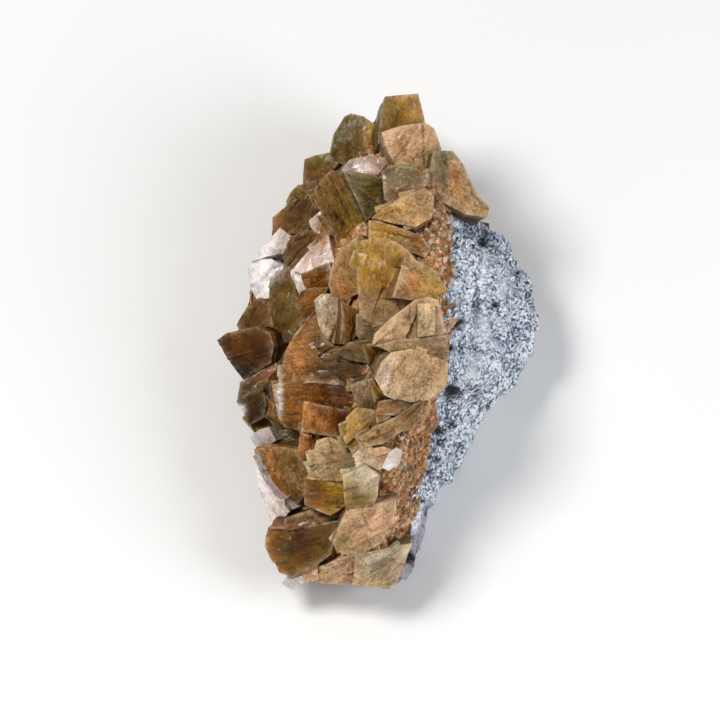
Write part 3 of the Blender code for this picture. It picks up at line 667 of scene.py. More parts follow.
def block_skin(front, back, kind, grain, first, second, sweep, seed, banding=FAINT_BANDS, cell=CELL):
    """One crystal as a grid: rows run from the middle of its face out to the edge, over the chipped edge
    and down the sides. The face carries its relief; each layer of the sides stands out by its own amount.
    The tint runs from the first colour to the second along the sweep's direction, with noise, and darkens
    down the sides as painted shade. The rim, pale from wear and from painted edge highlight, fades from the
    edge, and the banding is one strength for the whole crystal."""
    form = KINDS[kind]
    dice = np.random.default_rng(seed)
    front = front + FACE_GROWTH * unit(front - front.mean(axis=0))
    lengths = np.linalg.norm(np.roll(front, -1, axis=0) - front, axis=1)
    counts = np.maximum(np.round(lengths / cell).astype(int), 2)
    edge, foot = dense_ring(front, counts), dense_ring(back, counts)
    middle = edge.mean(axis=0)
    out, right, up, along_grain, across_grain = face_axes(front, middle - foot.mean(axis=0), grain)

    radial = edge - middle
    reach = np.linalg.norm(radial, axis=1, keepdims=True)
    radial = radial / reach
    chip = 0.1 + 0.08 * lattice_noise(edge, 0.8, seed)
    chip = chip + form["chip"] * np.clip(lattice_noise(edge, 1.7, seed + 1) - 0.2, 0, 1)
    chip = np.clip(chip, 0.05, 0.3 * reach.min())[:, None]
    inner = edge - radial * chip
    face_rows = np.linspace(0, 1, max(int(reach.mean() / cell), 5) + 1)[1:, None, None]
    face = middle + (inner - middle) * face_rows
    length = np.linalg.norm(foot - edge, axis=1).mean()
    drops = np.concatenate([np.arange(0.4, min(SIDE_SEEN, length), SIDE_CELL),
                            np.arange(SIDE_SEEN, length, DEEP_CELL), [length]])
    shoulder = np.stack([edge - radial * chip * 0.3 - out * chip * 0.25, edge - out * chip * 0.9])
    sides = edge + (foot - edge) * (drops / length)[:, None, None]
    floors = dice.uniform(-1, 1, 64)
    stack = drops[:, None] / form["plate"] + 0.5 * lattice_noise(edge, 4, seed + 2)
    proud = form["layer"] * floors[np.floor(stack + 20).astype(int) % len(floors)]
    proud = proud * np.clip(drops / 0.8, 0, 1)[:, None] + 0.06 * lattice_noise(sides, 0.7, seed + 3)
    sides = sides + radial * (proud - 0.9 * form["layer"])[..., None]
    skin = np.concatenate([face, shoulder, sides])

    drop = np.concatenate([np.zeros(len(face) + 2), drops])[:, None]
    place = skin - middle
    a, b = place @ along_grain, place @ across_grain
    relief = face_relief(skin, a, b, reach.mean(), form, seed, dice)
    skin = skin + out * (relief * np.clip(1 - drop / RELIEF_REACH, 0, 1))[..., None]

    rim = np.concatenate([np.exp(-(1 - face_rows[..., 0]) * reach[:, 0] / RIM_ON_FACE),
                          np.ones((2, len(edge))),
                          np.exp(-drops[:, None] / RIM_ON_SIDES) * np.ones((1, len(edge)))])
    around = np.concatenate([[0], np.cumsum(np.linalg.norm(np.diff(edge, axis=0), axis=1))])
    around = np.minimum(around, lengths.sum() - around)
    on_face = drop == 0
    weave = np.stack([np.where(on_face, a, around), np.where(on_face, b, drop + 20)], axis=-1) + 7.3 * seed
    swept = math.radians(sweep)
    fade = place @ (math.cos(swept) * right + math.sin(swept) * up)
    fade = 0.5 + 0.62 * fade / reach.max() + 0.3 * lattice_noise(skin, 2.4, seed + 7)
    fade = np.clip(fade, 0, 1)[..., None]
    tint = shade(first) + (shade(second) - shade(first)) * fade * fade * (3 - 2 * fade)
    clouded = 1 + 0.22 * lattice_noise(skin, 1.5, seed + 8) + 0.12 * lattice_noise(skin, 0.6, seed + 9)
    # Painted shade: the tint darkens down the sides below the face, to 0.4 of itself at 3 mm and deeper.
    tint = tint * (clouded * (1 - 0.6 * np.clip(drop / 3, 0, 1)))[..., None]
    points, quads, triangles = closed_skin(skin)
    ends = [0, -1]
    return {"points": points, "quads": quads, "triangles": triangles,
            "tint": np.concatenate([tint.reshape(-1, 3), tint[ends, 0]]),
            "rim": np.concatenate([rim.ravel(), rim[ends, 0]]), "banding": np.full(len(points), banding),
            "weave": np.concatenate([weave.reshape(-1, 2), weave[ends, 0]])}


def grown_on(front, back, kind, grain, first, second, sweep, seed):
    """The small crystals on one crystal's edge: leaning rhombs in parallel with its grain, a little lower
    than its face, each with its own root under it."""
    dice = np.random.default_rng(seed + 5000)
    middle = front.mean(axis=0)
    own_grain = grain + dice.normal(0, 8)
    out, right, up, along_grain, across_grain = face_axes(front, middle - back.mean(axis=0), own_grain)
    reach = np.linalg.norm(front - middle, axis=1).mean()
    small = []
    for number in range(int(reach * 0.9) if reach > 2.2 else 0):
        corner = dice.integers(len(front))
        on_edge = front[corner] + (front[(corner + 1) % len(front)] - front[corner]) * dice.uniform(0, 1)
        at = middle + (on_edge - middle) * dice.uniform(0.85, 1.0) - out * dice.uniform(0.2, 1.2)
        size = dice.uniform(0.4, 1.2)
        lean = out + 0.22 * dice.normal(0, 1, 3)
        face = np.array([at + (along_grain * p * dice.uniform(0.8, 1.2) + across_grain * q) * size
                         for p, q in ((1.3, 0.9), (-0.9, 1), (-1.3, -0.9), (0.9, -1))])
        face = face - out * ((face - at) @ unit(lean))[:, None]
        root = at + (face - at) * 1.15 - out * 3.5 + (middle - at) * 0.2
        if all(inside(*on_drawing(point)[:2], OUTLINE) for point in face):
            small.append(block_skin(face, root, kind, grain, first, second, sweep + 40 * number,
                                    seed + 37 * number + 1))
    return small


def joined(name, blocks, smooth_under=16):
    """One object from many crystals, with its tint, rim and banding as attributes and its weave as a UV
    map."""
    starts = np.cumsum([0] + [len(block["points"]) for block in blocks[:-1]])
    stacked = {key: np.concatenate([block[key] for block in blocks])
               for key in ("points", "tint", "rim", "banding", "weave")}
    faces = [np.concatenate([block[key] + start for block, start in zip(blocks, starts)])
             for key in ("quads", "triangles")]
    made = mesh_object(name, stacked["points"], *faces, smooth_under)
    mesh = made.data
    give_colours(mesh, "tint", stacked["tint"])
    for key in ("rim", "banding"):
        mesh.attributes.new(key, "FLOAT", "POINT").data.foreach_set("value", stacked[key])
    corners = np.empty(len(mesh.loops), int)
    mesh.loops.foreach_get("vertex_index", corners)
    mesh.uv_layers.new(name="weave").data.foreach_set("uv", stacked["weave"][corners].ravel())
    return made


# Stains, painted glints and painted glows that lie across the crystals: middle on the drawing, half width,
# half height, colour, strength.
PATCHES = [
    (-1.5, 11.5, 3.2, 3.4, "golden", 0.85), (4, 7, 1.6, 1.2, "deep", 0.7),
    (9.5, -4, 1.4, 0.9, "peach", 0.6), (-12.2, -2.5, 1.6, 3.2, "orange", 0.4),
    (-15.2, -6.5, 0.6, 2.6, "cream", 0.7), (-5, 2.2, 1.2, 4, "bark", 0.35),
    (-6.6, -6.8, 0.7, 0.6, "peach", 0.8), (-5, -31, 1.2, 1.2, "moss", 0.7),
    (-11.7, -31.5, 2.8, 2.6, "cola", 0.95), (1.6, -5.5, 0.7, 2.6, "pearl", 0.5),
    (-21, -10.8, 0.7, 0.8, "white", 0.9), (-11, -10.5, 1.4, 1.8, "orange", 0.6),
    (12.5, 24.5, 1, 2.6, "orange", 0.65), (3.8, -0.2, 4, 0.35, "bark", 0.6),
    (-6.2, 27.5, 1, 3, "dark", 0.35), (-3.9, 29, 1, 3.4, "bark", 0.5),
    (-17.5, 10.8, 2.2, 1.6, "white", 0.8), (-13, -23, 2.4, 2, "russet", 0.35),
    (-6, -23, 1.8, 2.2, "golden", 0.8), (-9.6, -23, 1.1, 2.4, "deep", 0.7),
    (6.3, 3.4, 0.35, 1.6, "bark", 0.7), (5.6, 9, 1.2, 2, "orange", 0.7),
    (2.8, -3.2, 1.2, 0.6, "cream", 0.5), (-4.5, -2, 3.4, 2.4, "bark", 0.7),
    (-1, 5.5, 2.2, 1.8, "mauve", 0.5), (-8.6, 16.5, 0.8, 2, "amber", 0.7),
    (-4, -9.2, 3, 0.9, "russet", 0.5), (7.5, 18.3, 1.6, 1, "orange", 0.5),
    (-14.2, -33, 1, 2.4, "moss", 0.6), (1, -25, 2, 1, "sand", 0.5), (-3, 12, 0.5, 3.2, "olive", 0.4),
    (3.6, 12.5, 1.4, 1.4, "olive", 0.4), (0.5, 8.5, 3, 1, "amber", 0.35), (-14.8, -9, 0.4, 2, "white", 0.7),
    (-11.4, -15.5, 0.6, 1.4, "orange", 0.6), (8.3, 19.6, 1.2, 1, "deep", 0.5),
    (-7.2, 13.2, 0.4, 2.2, "white", 0.6), (3.2, 22.6, 1.8, 0.5, "deep", 0.45),
    (10.5, 24, 0.35, 3, "dark", 0.5),
]


def patched(block):
    """Mixes the stains, painted glints and painted glows into a crystal's tint, each fading out from its
    middle as seen on the drawing.
    """
    u, v = on_drawing(block["points"])[:2]
    for u_middle, v_middle, wide, tall, colour, strength in PATCHES:
        near = np.exp(-(((u - u_middle) / wide) ** 2) - ((v - v_middle) / tall) ** 2)
        near = near * (1 + 0.5 * lattice_noise(block["points"], 0.9, 3))
        ragged = np.clip(near * strength * 1.3, 0, strength)
        block["tint"] = block["tint"] + (shade(colour) - block["tint"]) * ragged[:, None]
    return block


def attribute(tree, name, output="Fac"):
    """What a mesh stores for each of its points."""
    return add(tree, "ShaderNodeAttribute", attribute_name=name).outputs[output]


def stretched(tree, weave, along_grain, across_grain):
    """The grain's UV map, with its own scales along and across the grain."""
    scale = (along_grain, across_grain, 1)
    return add(tree, "ShaderNodeMapping", {"Vector": weave, "Scale": scale}).outputs[0]


def offset(tree, first, second):
    """One vector less another."""
    return add(tree, "ShaderNodeVectorMath", {0: first, 1: second}, operation="SUBTRACT").outputs[0]


def facets(tree, laid):
    """Polygons: the slope of each, which has its own tilt, and a value of its own that paints it lighter or
    darker as painted reflection.
    """
    cells = add(tree, "ShaderNodeTexVoronoi", {"Vector": laid, "Scale": 1.0}, voronoi_dimensions="2D").outputs
    ends = {0: offset(tree, laid, cells["Position"]), 1: offset(tree, cells["Color"], (0.5, 0.5, 0.5))}
    slope = add(tree, "ShaderNodeVectorMath", ends, operation="DOT_PRODUCT").outputs["Value"]
    blue = add(tree, "ShaderNodeSeparateColor", {"Color": cells["Color"]}).outputs["Blue"]
    return slope, band(tree, blue, 0.0, 1.0, -0.5, 0.5)


def product(tree, *values):
    """The values multiplied together, the first two first."""
    total = values[0]
    for value in values[1:]:
        total = figured(tree, "MULTIPLY", total, value)
    return total


def surface_group():
    """The siderite's surface, for every kind of crystal. Streaks and facets follow the grain's UV map, and
    each facet is also painted lighter or darker as painted reflection. Speckles, stains and cleavage cracks
    fill the volume. Pale flecks are partly frost and partly painted glitter, glinting facets catch the light,
    and worn edges are pale, partly with painted edge highlight."""
    tree = bpy.data.node_groups.new("siderite_surface", "ShaderNodeTree")
    for name, value in (("Streaks", 0.5), ("Speckle", 0.5), ("Frost", 0.3), ("Stain", 0.3), ("Pale", 0.4),
                        ("Matt", 0.4), ("Cracks", 0.4), ("Facets", 0.5), ("Coat", 0.1), ("Glints", 0.4)):
        socket = tree.interface.new_socket(name=name, in_out="INPUT", socket_type="NodeSocketFloat")
        socket.default_value = value
    for name, kind in (("Color", "Color"), ("Roughness", "Float"), ("Height", "Float"), ("Coat", "Float")):
        tree.interface.new_socket(name=name, in_out="OUTPUT", socket_type=f"NodeSocket{kind}")
    given = add(tree, "NodeGroupInput").outputs
    weave = add(tree, "ShaderNodeUVMap", uv_map="weave").outputs[0]
    place = add(tree, "ShaderNodeTexCoord").outputs["Object"]
    tint, rim = attribute(tree, "tint", "Color"), attribute(tree, "rim")

    streaks = product(tree, noise(tree, stretched(tree, weave, 0.14, 1.5), 1.0, 4.0), 0.55)
    fine_streaks = noise(tree, stretched(tree, weave, 0.4, 4.2), 1.0)
    streaks = figured(tree, "MULTIPLY_ADD", fine_streaks, 0.45, streaks)
    speckle = noise(tree, place, 3100.0, 3.0, 0.7)
    clouds = noise(tree, place, 420.0, 5.0, 0.65)
    broad_slope, broad_tone = facets(tree, stretched(tree, weave, 0.28, 0.6))
    small_slope, small_tone = facets(tree, stretched(tree, weave, 1.1, 2.2))
    shattered = band(tree, noise(tree, place, 300.0), 0.44, 0.58)
    # Painted reflection: each facet is painted lighter or darker, as if it caught the light on its own.
    facet_painted_reflection = figured(tree, "MULTIPLY_ADD", product(tree, small_tone, shattered), 0.55,
                         product(tree, broad_tone, 0.45))
    facet_height = figured(tree, "MULTIPLY_ADD", product(tree, small_slope, shattered), 0.9,
                           product(tree, broad_slope, 2.2))
    grain = product(tree, given["Streaks"], attribute(tree, "banding"))

    streak_tone = product(tree, band(tree, streaks, 0.36, 0.64, -0.5, 0.5), grain)
    speckle_tone = product(tree, band(tree, speckle, 0.36, 0.64, -0.5, 0.5), given["Speckle"])
    tone = band(tree, clouds, 0.3, 0.7, 0.68, 1.26)
    for part in (speckle_tone, streak_tone, product(tree, facet_painted_reflection, given["Facets"])):
        tone = figured(tree, "ADD", tone, part)
    colour = add(tree, "ShaderNodeVectorMath", {0: tint, "Scale": tone}, operation="SCALE").outputs[0]
    stains = band(tree, noise(tree, place, 260.0, 4.0, 0.6), 0.52, 0.68)
    colour = mixed(tree, product(tree, stains, given["Stain"]), colour, paint(160, 100, 52))
    milky = band(tree, add(tree, "ShaderNodeRGBToBW", {"Color": tint}).outputs[0], 0.02, 0.2, 0.15, 1.0)
    # Pale flecks: partly frost and dust, partly painted glitter of tiny highlights.
    frost_and_glitter = band(tree, noise(tree, place, 2300.0, 2.0, 0.7), 0.56, 0.64)
    frost_and_glitter = product(tree, frost_and_glitter, band(tree, clouds, 0.4, 0.6), given["Frost"], milky)
    colour = mixed(tree, frost_and_glitter, colour, paint(226, 202, 170))
    pricks = band(tree, noise(tree, place, 2300.0, 2.0, 0.5), 0.36, 0.3)
    colour = mixed(tree, product(tree, pricks, given["Speckle"]), colour, paint(46, 28, 12))
    # Pale edges: partly wear, partly painted highlight along the crystals' edges.
    worn_and_highlit_edge = product(tree, rim, band(tree, noise(tree, place, 900.0), 0.35, 0.65), given["Pale"],
                   band(tree, milky, 0.15, 1.0, 0.55, 1.0))
    colour = mixed(tree, worn_and_highlit_edge, colour, paint(226, 204, 164))
    crooked = wandering(tree, place, 700.0, 0.0012)
    seams = add(tree, "ShaderNodeTexVoronoi", {"Vector": crooked, "Scale": 420.0}, feature="DISTANCE_TO_EDGE")
    cracks = product(tree, band(tree, seams.outputs["Distance"], 0.0, 0.045, 1.0, 0.0),
                     band(tree, noise(tree, place, 230.0), 0.48, 0.6), given["Cracks"])
    colour = mixed(tree, cracks, colour, paint(58, 34, 14))

    matt = figured(tree, "MULTIPLY_ADD", band(tree, speckle, 0.3, 0.7), 0.22, given["Matt"])
    matt = figured(tree, "MULTIPLY_ADD", frost_and_glitter, 0.3, matt)
    glints = product(tree, band(tree, small_tone, 0.28, 0.32), shattered)
    coat = figured(tree, "MULTIPLY_ADD", glints, given["Glints"], given["Coat"])
    height = figured(tree, "ADD", product(tree, streaks, grain), product(tree, speckle, given["Speckle"]))
    height = product(tree, figured(tree, "SUBTRACT", height, cracks), 0.12)
    height = figured(tree, "MULTIPLY_ADD", facet_height, given["Facets"], height)
    add(tree, "NodeGroupOutput", {"Color": colour, "Roughness": matt, "Height": height, "Coat": coat})
    return tree


siderite_surface = surface_group()


def crystal_material(name, amounts, bump, coat, glow, through=0.0, bend=1.62, shine=0.22):
    """The shared surface with one kind's amounts, over a translucent body."""
    material, tree, surface = new_material(name)
    skin = add(tree, "ShaderNodeGroup", node_tree=siderite_surface)
    for key, value in {**amounts, "Coat": coat}.items():
        skin.inputs[key].default_value = value
    for key, target in (("Color", "Base Color"), ("Roughness", "Roughness"), ("Coat", "Coat Weight")):
        tree.links.new(skin.outputs[key], surface.inputs[target])
    roughened(tree, surface, skin.outputs["Height"], bump, MM)
    for key, value in {"IOR": bend, "Specular IOR Level": shine, "Coat Roughness": 0.18,
                       "Subsurface Weight": glow, "Subsurface Radius": (0.001, 0.0006, 0.0002),
                       "Subsurface Scale": 1, "Transmission Weight": through}.items():
        surface.inputs[key].default_value = value
    return material


def crystal_piece(name, kind, crystals, material, first_seed):
    """Builds one piece from its list of crystals, and has it stand for the crystals' solid."""
    blocks = []
    for number, (crystal, row) in enumerate(crystals.items()):
        first, second, sweep, grain, lift, turn, tip, depth, *corners = row
        form = (*crystal_rings(lift, turn, tip, depth, corners), kind, grain, first, second, sweep,
                first_seed + number)
        small = [] if crystal in CLEAN_EDGES else grown_on(*form)
        blocks += [patched(block) for block in (block_skin(*form, BANDED.get(crystal, FAINT_BANDS)), *small)]
    piece = joined(name, blocks)
    piece.data.materials.append(material)
    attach(piece, "root")
    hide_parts("siderite_crystals")


# The clear crystals: honey, golden and olive, glassy enough for light to reach the amber and brown inside.
# Each row: colours, the direction from one to the other, grain, height over the crust, how far the face
# turns right and tips up in degrees, depth, and its corners on the drawing.
CLEAR = {
    "summit": ("olive", "honey", 0, 90, 3, 14, -10, 9, (1.5, 37.5), (6.5, 38), (7.5, 34), (7, 31),
               (3.5, 29.5), (0.5, 30.5), (1, 35)),
    "twin_peak": ("moss", "honey", -20, 80, 3, -16, -4, 9, (-7.5, 28), (-6.5, 32), (-5, 34.5), (-4, 35),
                  (-2, 34.5), (1, 32.5), (3, 28.5), (1.5, 27), (-4, 27)),
    "left_shoulder": ("olive", "brown", -60, 40, 3, -25, 0, 11, (-11.5, 24.5), (-11, 28), (-9.5, 28.5),
                      (-7.5, 29), (-6, 27.5), (-8, 24.5)),
    "arrow_window": ("deep", "amber", 0, 15, 4.5, 0, -35, 4, (-0.5, 18.5), (3.5, 20), (4, 18.5), (2.5, 17),
                     (0.5, 17.5)),
    "great_lens": ("honey", "tan", -70, 85, 7, -6, -6, 12, (-3, 12), (-3, 15), (-0.5, 15.5), (3, 15),
                   (5, 13.5), (6.5, 11.5), (7, 8.5), (6, 6), (3.5, 4.5), (1, 2.5), (-0.5, 2), (-2.5, 4)),
    "bark_window": ("deep", "amber", -80, 90, 6, 35, -5, 7, (-5, 6), (-3, 4.5), (-2.5, 3.5), (-3, 1),
                    (-3.5, -0.5), (-5.5, -0.5)),
    "fan": ("sand", "peach", -60, 55, 6, 2, -6, 10, (-0.5, -1), (0, 1), (2, 3), (4, 4.5), (6, 6), (8, 6.5),
            (9.5, 6), (10.5, 2), (10, 0.5), (7.5, -0.5)),
    "amber_pocket": ("golden", "deep", -90, 60, 3, 20, -20, 6, (-2, -1), (0.5, -0.5), (2, -2.5), (1, -4.5),
                     (0, -5), (-1, -4)),
    "rhomb_window": ("golden", "deep", -70, 45, 5.5, 40, 0, 7, (-0.5, -6.5), (2, -8.5), (2, -9.5),
                     (0, -11)),
    "bottle_green": ("moss", "dark", 0, 10, 4, -10, -10, 8, (-16, -14.5), (-14.5, -14), (-11.5, -14),
                     (-11.5, -16.5), (-13.5, -17.5)),
    "block_window": ("amber", "golden", 0, 0, 7.2, -8, -14, 10, (-11, -21.2), (-5, -20.8), (-3.5, -23),
                     (-4.5, -25.5), (-7, -27), (-11, -25.5)),
    "block_right": ("olive", "cream", 70, 5, 7, 12, -14, 9, (-5, -21), (-1.5, -19.5), (0.5, -21), (0, -24),
                    (-0.5, -25.5), (-4.5, -26)),
    "ochre_wing": ("honey", "olive", 0, 35, 6.5, -6, -6, 8, (-5, -15), (-4.5, -12), (-3, -10.5), (0.5, -11),
                   (3.5, -10.5), (3, -12), (0, -14), (-2, -16.5), (-4, -17)),
    "olive_drum": ("amber", "olive", 0, 20, 7, -14, -22, 12, (-16.5, -29), (-12.5, -29), (-6, -28),
                   (-7, -33), (-9, -34.5), (-13, -36.5), (-15, -36), (-17, -32), (-17, -30.5)),
}
clear_material = crystal_material(
    "clear_siderite",
    {"Streaks": 0.4, "Speckle": 0.45, "Frost": 0.22, "Stain": 0.1, "Pale": 0.55, "Matt": 0.24,
     "Cracks": 0.14, "Facets": 0.65},
    bump=0.6, coat=0.08, glow=0.06, through=0.06, shine=0.16)
crystal_piece("clear_crystals", "clear", CLEAR, clear_material, 100)


# The frosted crystals: tan, sand and salmon blocks with finely rough faces, along the right and at the foot.
FROSTED = {
    "salmon_block": ("peach", "tan", -30, 60, 5, 4, -6, 11, (1, 32), (4, 33), (7.5, 33.5), (9, 32.5),
                     (10, 29.5), (9, 26.5), (8, 25.5), (3.5, 26.5), (2, 29)),
    "smoky_lens": ("slate", "mauve", -80, 20, 5, 10, 18, 9, (1, 26), (2.5, 27), (6, 27), (7.5, 26),
                   (8, 24.5), (7, 23), (3, 21), (1.5, 22)),
    "right_spur": ("slate", "tan", -80, 105, 4.5, 12, -12, 12, (9, 29), (12, 29), (13.5, 27), (14.5, 24.5),
                   (16, 22), (17.5, 20.5), (17, 19), (14, 19.5), (10, 21.5), (8, 24)),
    "arrow": ("honey", "tan", 0, 25, 6, 6, 15, 6, (-0.5, 19), (1.5, 20.5), (4, 22), (7.5, 23.5), (9, 22.5),
              (8.5, 19), (6, 17.5), (3, 18)),
    "tan_beam": ("honey", "brown", 0, -20, 5, 0, 22, 6, (-1, 18.5), (0.5, 18.5), (4, 17), (7, 16),
                 (8.5, 14.5), (7.5, 13), (3, 14.5), (-1, 15)),
    "lens_flank": ("tan", "honey", 0, -45, 6, 30, -10, 9, (5, 12.5), (6.5, 12), (9.5, 10.5), (11, 8),
                   (10, 5.5), (7, 6), (3, 6.5)),
    "left_leaf": ("tan", "orange", -80, 70, 5.5, -30, -6, 9, (-7, 7), (-7.5, 8.5), (-7, 11), (-5.5, 14),
                  (-3.5, 15.5), (-2.5, 14), (-2.5, 7.5), (-4.5, 6.5), (-6, 5.5)),
    "cream_bark": ("cream", "sand", 0, 90, 7, -12, 0, 8, (-9.5, 6), (-8.5, 7), (-7, 7), (-5, 5.5),
                   (-5, -0.5), (-7, -0.5), (-8.5, 1)),
    "fan_blade_left": ("sand", "tan", -40, 60, 7.2, -16, 6, 5, (1, 0), (2.5, 2.5), (5, 5), (6.5, 5.5),
                       (6, 4), (5, 1.5), (4, 0)),
    "fan_blade_right": ("sand", "sand", 0, 80, 7, 16, 2, 5, (6.5, 5.5), (9, 5.5), (9, 3.5), (9, 1),
                        (6.5, 0.5)),
    "crumbled_band": ("tan", "mauve", 0, 0, 5, 6, -12, 7, (0, -1), (3.5, 0), (10, 0.5), (11, -1.5),
                      (11, -3.5), (5.5, -2.5), (2.5, -2)),
    "broad_block": ("sand", "tan", 80, 70, 6.5, 6, -6, 12, (1, -3.5), (2.5, -2), (5.5, -1.5), (8.5, -2.5),
                    (11, -3.5), (11, -6), (10.5, -7.5), (8.5, -9), (5.5, -9.5), (1.5, -8.5), (0, -6)),
    "block_rough": ("sand", "olive", -30, 10, 7, 2, 10, 9, (-9.5, -17), (-9, -15.5), (-7, -15),
                    (-4.5, -16.5), (-1.5, -19.5), (0.5, -21), (-5, -21.7), (-10.5, -21.2)),
    "pale_stub": ("cream", "peach", 0, 30, 5.5, 6, -6, 7, (-3.5, -18), (-2.5, -17), (1, -16.5), (2.5, -17),
                  (1.5, -19.5), (0.5, -20)),
    "foot_left": ("orange", "olive", 10, 100, 6, -20, -6, 12, (-19, -17), (-16.5, -16.5), (-11.5, -17),
                  (-10.5, -19), (-10.5, -22.5), (-11.5, -24.5), (-13.5, -26.5), (-17, -24), (-18, -21)),
    "peach_plate": ("tan", "peach", 40, 35, 6.5, 6, -16, 9, (-6.5, -31), (-5.5, -28.5), (-4.5, -26.5),
                    (-2.5, -25.5), (3, -25), (3, -27), (1.5, -29.5), (1, -31), (-3, -33.5), (-6, -32.5)),
    "foot_ledge_left": ("sand", "peach", 0, 25, 2.5, -8, -30, 9, (-11, -36.5), (-6, -34), (-3, -33),
                        (-2, -35), (-3.5, -37.8), (-8.5, -37.7)),
    "foot_ledge_right": ("sand", "cream", 60, 30, 2, 12, -26, 10, (-3, -33), (0, -32.5), (5.5, -31.5),
                         (5, -33), (3.2, -37.4), (2, -38.3), (-3.5, -37.8)),
}
frosted_material = crystal_material(
    "frosted_siderite",
    {"Streaks": 0.4, "Speckle": 0.65, "Frost": 0.5, "Stain": 0.2, "Pale": 0.55, "Matt": 0.4,
     "Cracks": 0.14, "Facets": 0.8},
    bump=0.8, coat=0.04, glow=0.06)
crystal_piece("frosted_crystals", "frosted", FROSTED, frosted_material, 200)


# The layered crystals: brown, olive and rust plates and blocks, striated along their growth.
LAYERED = {
    "grey_wedge": ("olive", "bark", -60, 60, 2.5, -30, 10, 9, (-14, 21.5), (-13, 23), (-12, 24),
                   (-10, 23.5), (-11, 21.5), (-12.5, 20.5)),
    "brown_step": ("bark", "olive", -60, 40, 3.5, -10, -10, 8, (-11.5, 24), (-8.5, 25), (-9, 22.5),
                   (-10, 20.5), (-11.5, 21)),
    "brown_cheek": ("brown", "bark", 0, 50, 3.5, -25, -5, 11, (-16, 16), (-16, 19), (-14, 20.5),
                    (-13.5, 21.5), (-10, 22), (-10, 19), (-10.5, 17)),
    "striped_plate": ("brown", "olive", 0, -62, 6.5, -10, -12, 10, (-10, 22.5), (-8.5, 24.5), (-7, 26),
                      (-5, 26), (-3, 21.5), (-1, 16.5), (-1.5, 15.5), (-4.5, 14.5), (-6, 15.5), (-8.5, 20)),
    "slate_green": ("slate", "moss", 0, -20, 5, 16, -5, 10, (-5, 26), (-0.5, 25.5), (1.5, 24.5), (2, 22),
                    (1, 20.5), (-1.5, 18.5)),
    "grey_stub": ("mauve", "slate", 0, 0, 4.5, 5, -16, 7, (-3, 4), (0, 3), (0.5, 2), (0, 0), (-2, -0.5),
                  (-3, 1)),
    "slate_plate": ("mauve", "slate", 0, -10, 5, -6, -20, 6, (-6.5, -2), (-4, -0.5), (-1, 0), (-1, -3.5),
                    (-4, -3)),
    "grey_rhomb": ("mauve", "slate", -60, 60, 7, -10, -16, 8, (-4, -7), (-0.5, -6), (0.5, -8.5),
                   (-0.5, -12), (-2, -12), (-3, -9.5)),
    "brown_valley": ("brown", "bark", -60, 45, 3, -16, 0, 9, (-14.5, 13.5), (-13, 16), (-11, 17),
                     (-7, 16.5), (-9, 14.5), (-13.5, 11)),
    "olive_slab": ("bark", "olive", 0, 80, 5, -32, 0, 11, (-15.5, 10.5), (-14, 11), (-13, 9), (-11, 3),
                   (-13, 1), (-15.5, -0.5), (-16.5, 1.5), (-16.5, 8)),
    "russet_hollow": ("russet", "deep", -90, 30, 3, 0, -20, 7, (-11.5, 10), (-7, 12), (-7, 9), (-7.5, 7.5),
                      (-9, 7), (-11, 8.5)),
    "russet_knob": ("russet", "brown", -60, 50, 4, -10, -16, 8, (-12.5, 5.5), (-11.5, 7.5), (-9.5, 8),
                    (-7.5, 8), (-9, 4.5), (-11, 3)),
    "left_brown": ("bark", "brown", -40, 30, 3.5, -26, 10, 11, (-21.5, 2.5), (-20, 5), (-18, 6.5),
                   (-16.5, 6), (-16, 1.5), (-21, 1)),
    # dark_left and left_step are darker in part as painted shadow over the far left.
    "dark_left": ("dark", "deep", 80, 20, 4.5, -32, -6, 12, (-24.5, 0), (-23, 1), (-18.5, 2), (-16.5, 1),
                  (-16, -1), (-16.5, -3.5), (-20.5, -6), (-22.5, -3.5)),
    "left_step": ("bark", "russet", 0, 35, 2.5, -20, 16, 9, (-21, -6.5), (-17.5, -4.5), (-15.5, -3.5),
                  (-15.5, -6), (-20, -9), (-21.5, -9.5)),
    "left_olive": ("bark", "dark", -60, 30, 3, -22, -10, 10, (-21.5, -9.5), (-19.5, -8), (-17.5, -7.5),
                   (-17, -10), (-17.5, -12), (-19.5, -13)),
    "russet_strip": ("orange", "russet", -80, 80, 3.5, -30, -6, 9, (-19, -7.5), (-18, -6.5), (-16, -6.5),
                     (-15, -11), (-15, -14.5), (-17.5, -11)),
    "great_plate_upper": ("toffee", "bark", 0, 5, 7, -16, 10, 11, (-9, 5), (-8.5, 1), (-6.5, -1),
                          (-3.5, -3), (-1, -5), (-1.5, -6.5), (-4, -7), (-10, -6.5), (-15.5, -7), (-14, -2),
                          (-12.5, 1)),
    "great_plate_lower": ("russet", "cola", -20, 0, 7.3, -12, -16, 11, (-16, -7), (-10, -6.2), (-3, -6.5),
                          (-2.5, -10), (-4, -12), (-7, -14), (-11.5, -14), (-14, -13.5), (-15, -12)),
    "ember_top": ("orange", "cola", 0, 80, 7, -6, 6, 9, (-11, -9.5), (-7, -10.5), (-4, -11), (-3.5, -12.5),
                  (-5, -15), (-8.5, -14.5), (-11.5, -14)),
    "ember_foot": ("orange", "deep", -60, 85, 6.5, -10, -20, 9, (-11.5, -13.7), (-8.5, -14.2), (-9, -16.5),
                   (-9.5, -19), (-11, -19), (-12, -17.5)),
    "layered_keel": ("tan", "bark", 0, 38, 6, 6, -16, 8, (-2.5, -15), (0.5, -13), (3, -12), (6, -10),
                     (7.5, -9.5), (7, -11), (5.5, -13), (1, -16), (-1.5, -16.5)),
    "upper_laths": ("brown", "mauve", 0, 25, 5.5, 6, 10, 7, (0, -11.5), (0.5, -9.5), (3.5, -9), (7, -8.7),
                    (6, -10), (3, -11.5)),
    "fibrous_strip": ("brown", "tan", 0, 5, 6, -4, 16, 9, (-14, -27.5), (-10, -26.3), (-6.5, -26.3),
                      (-5, -27.5), (-6.5, -28.7), (-14, -29.2)),
}
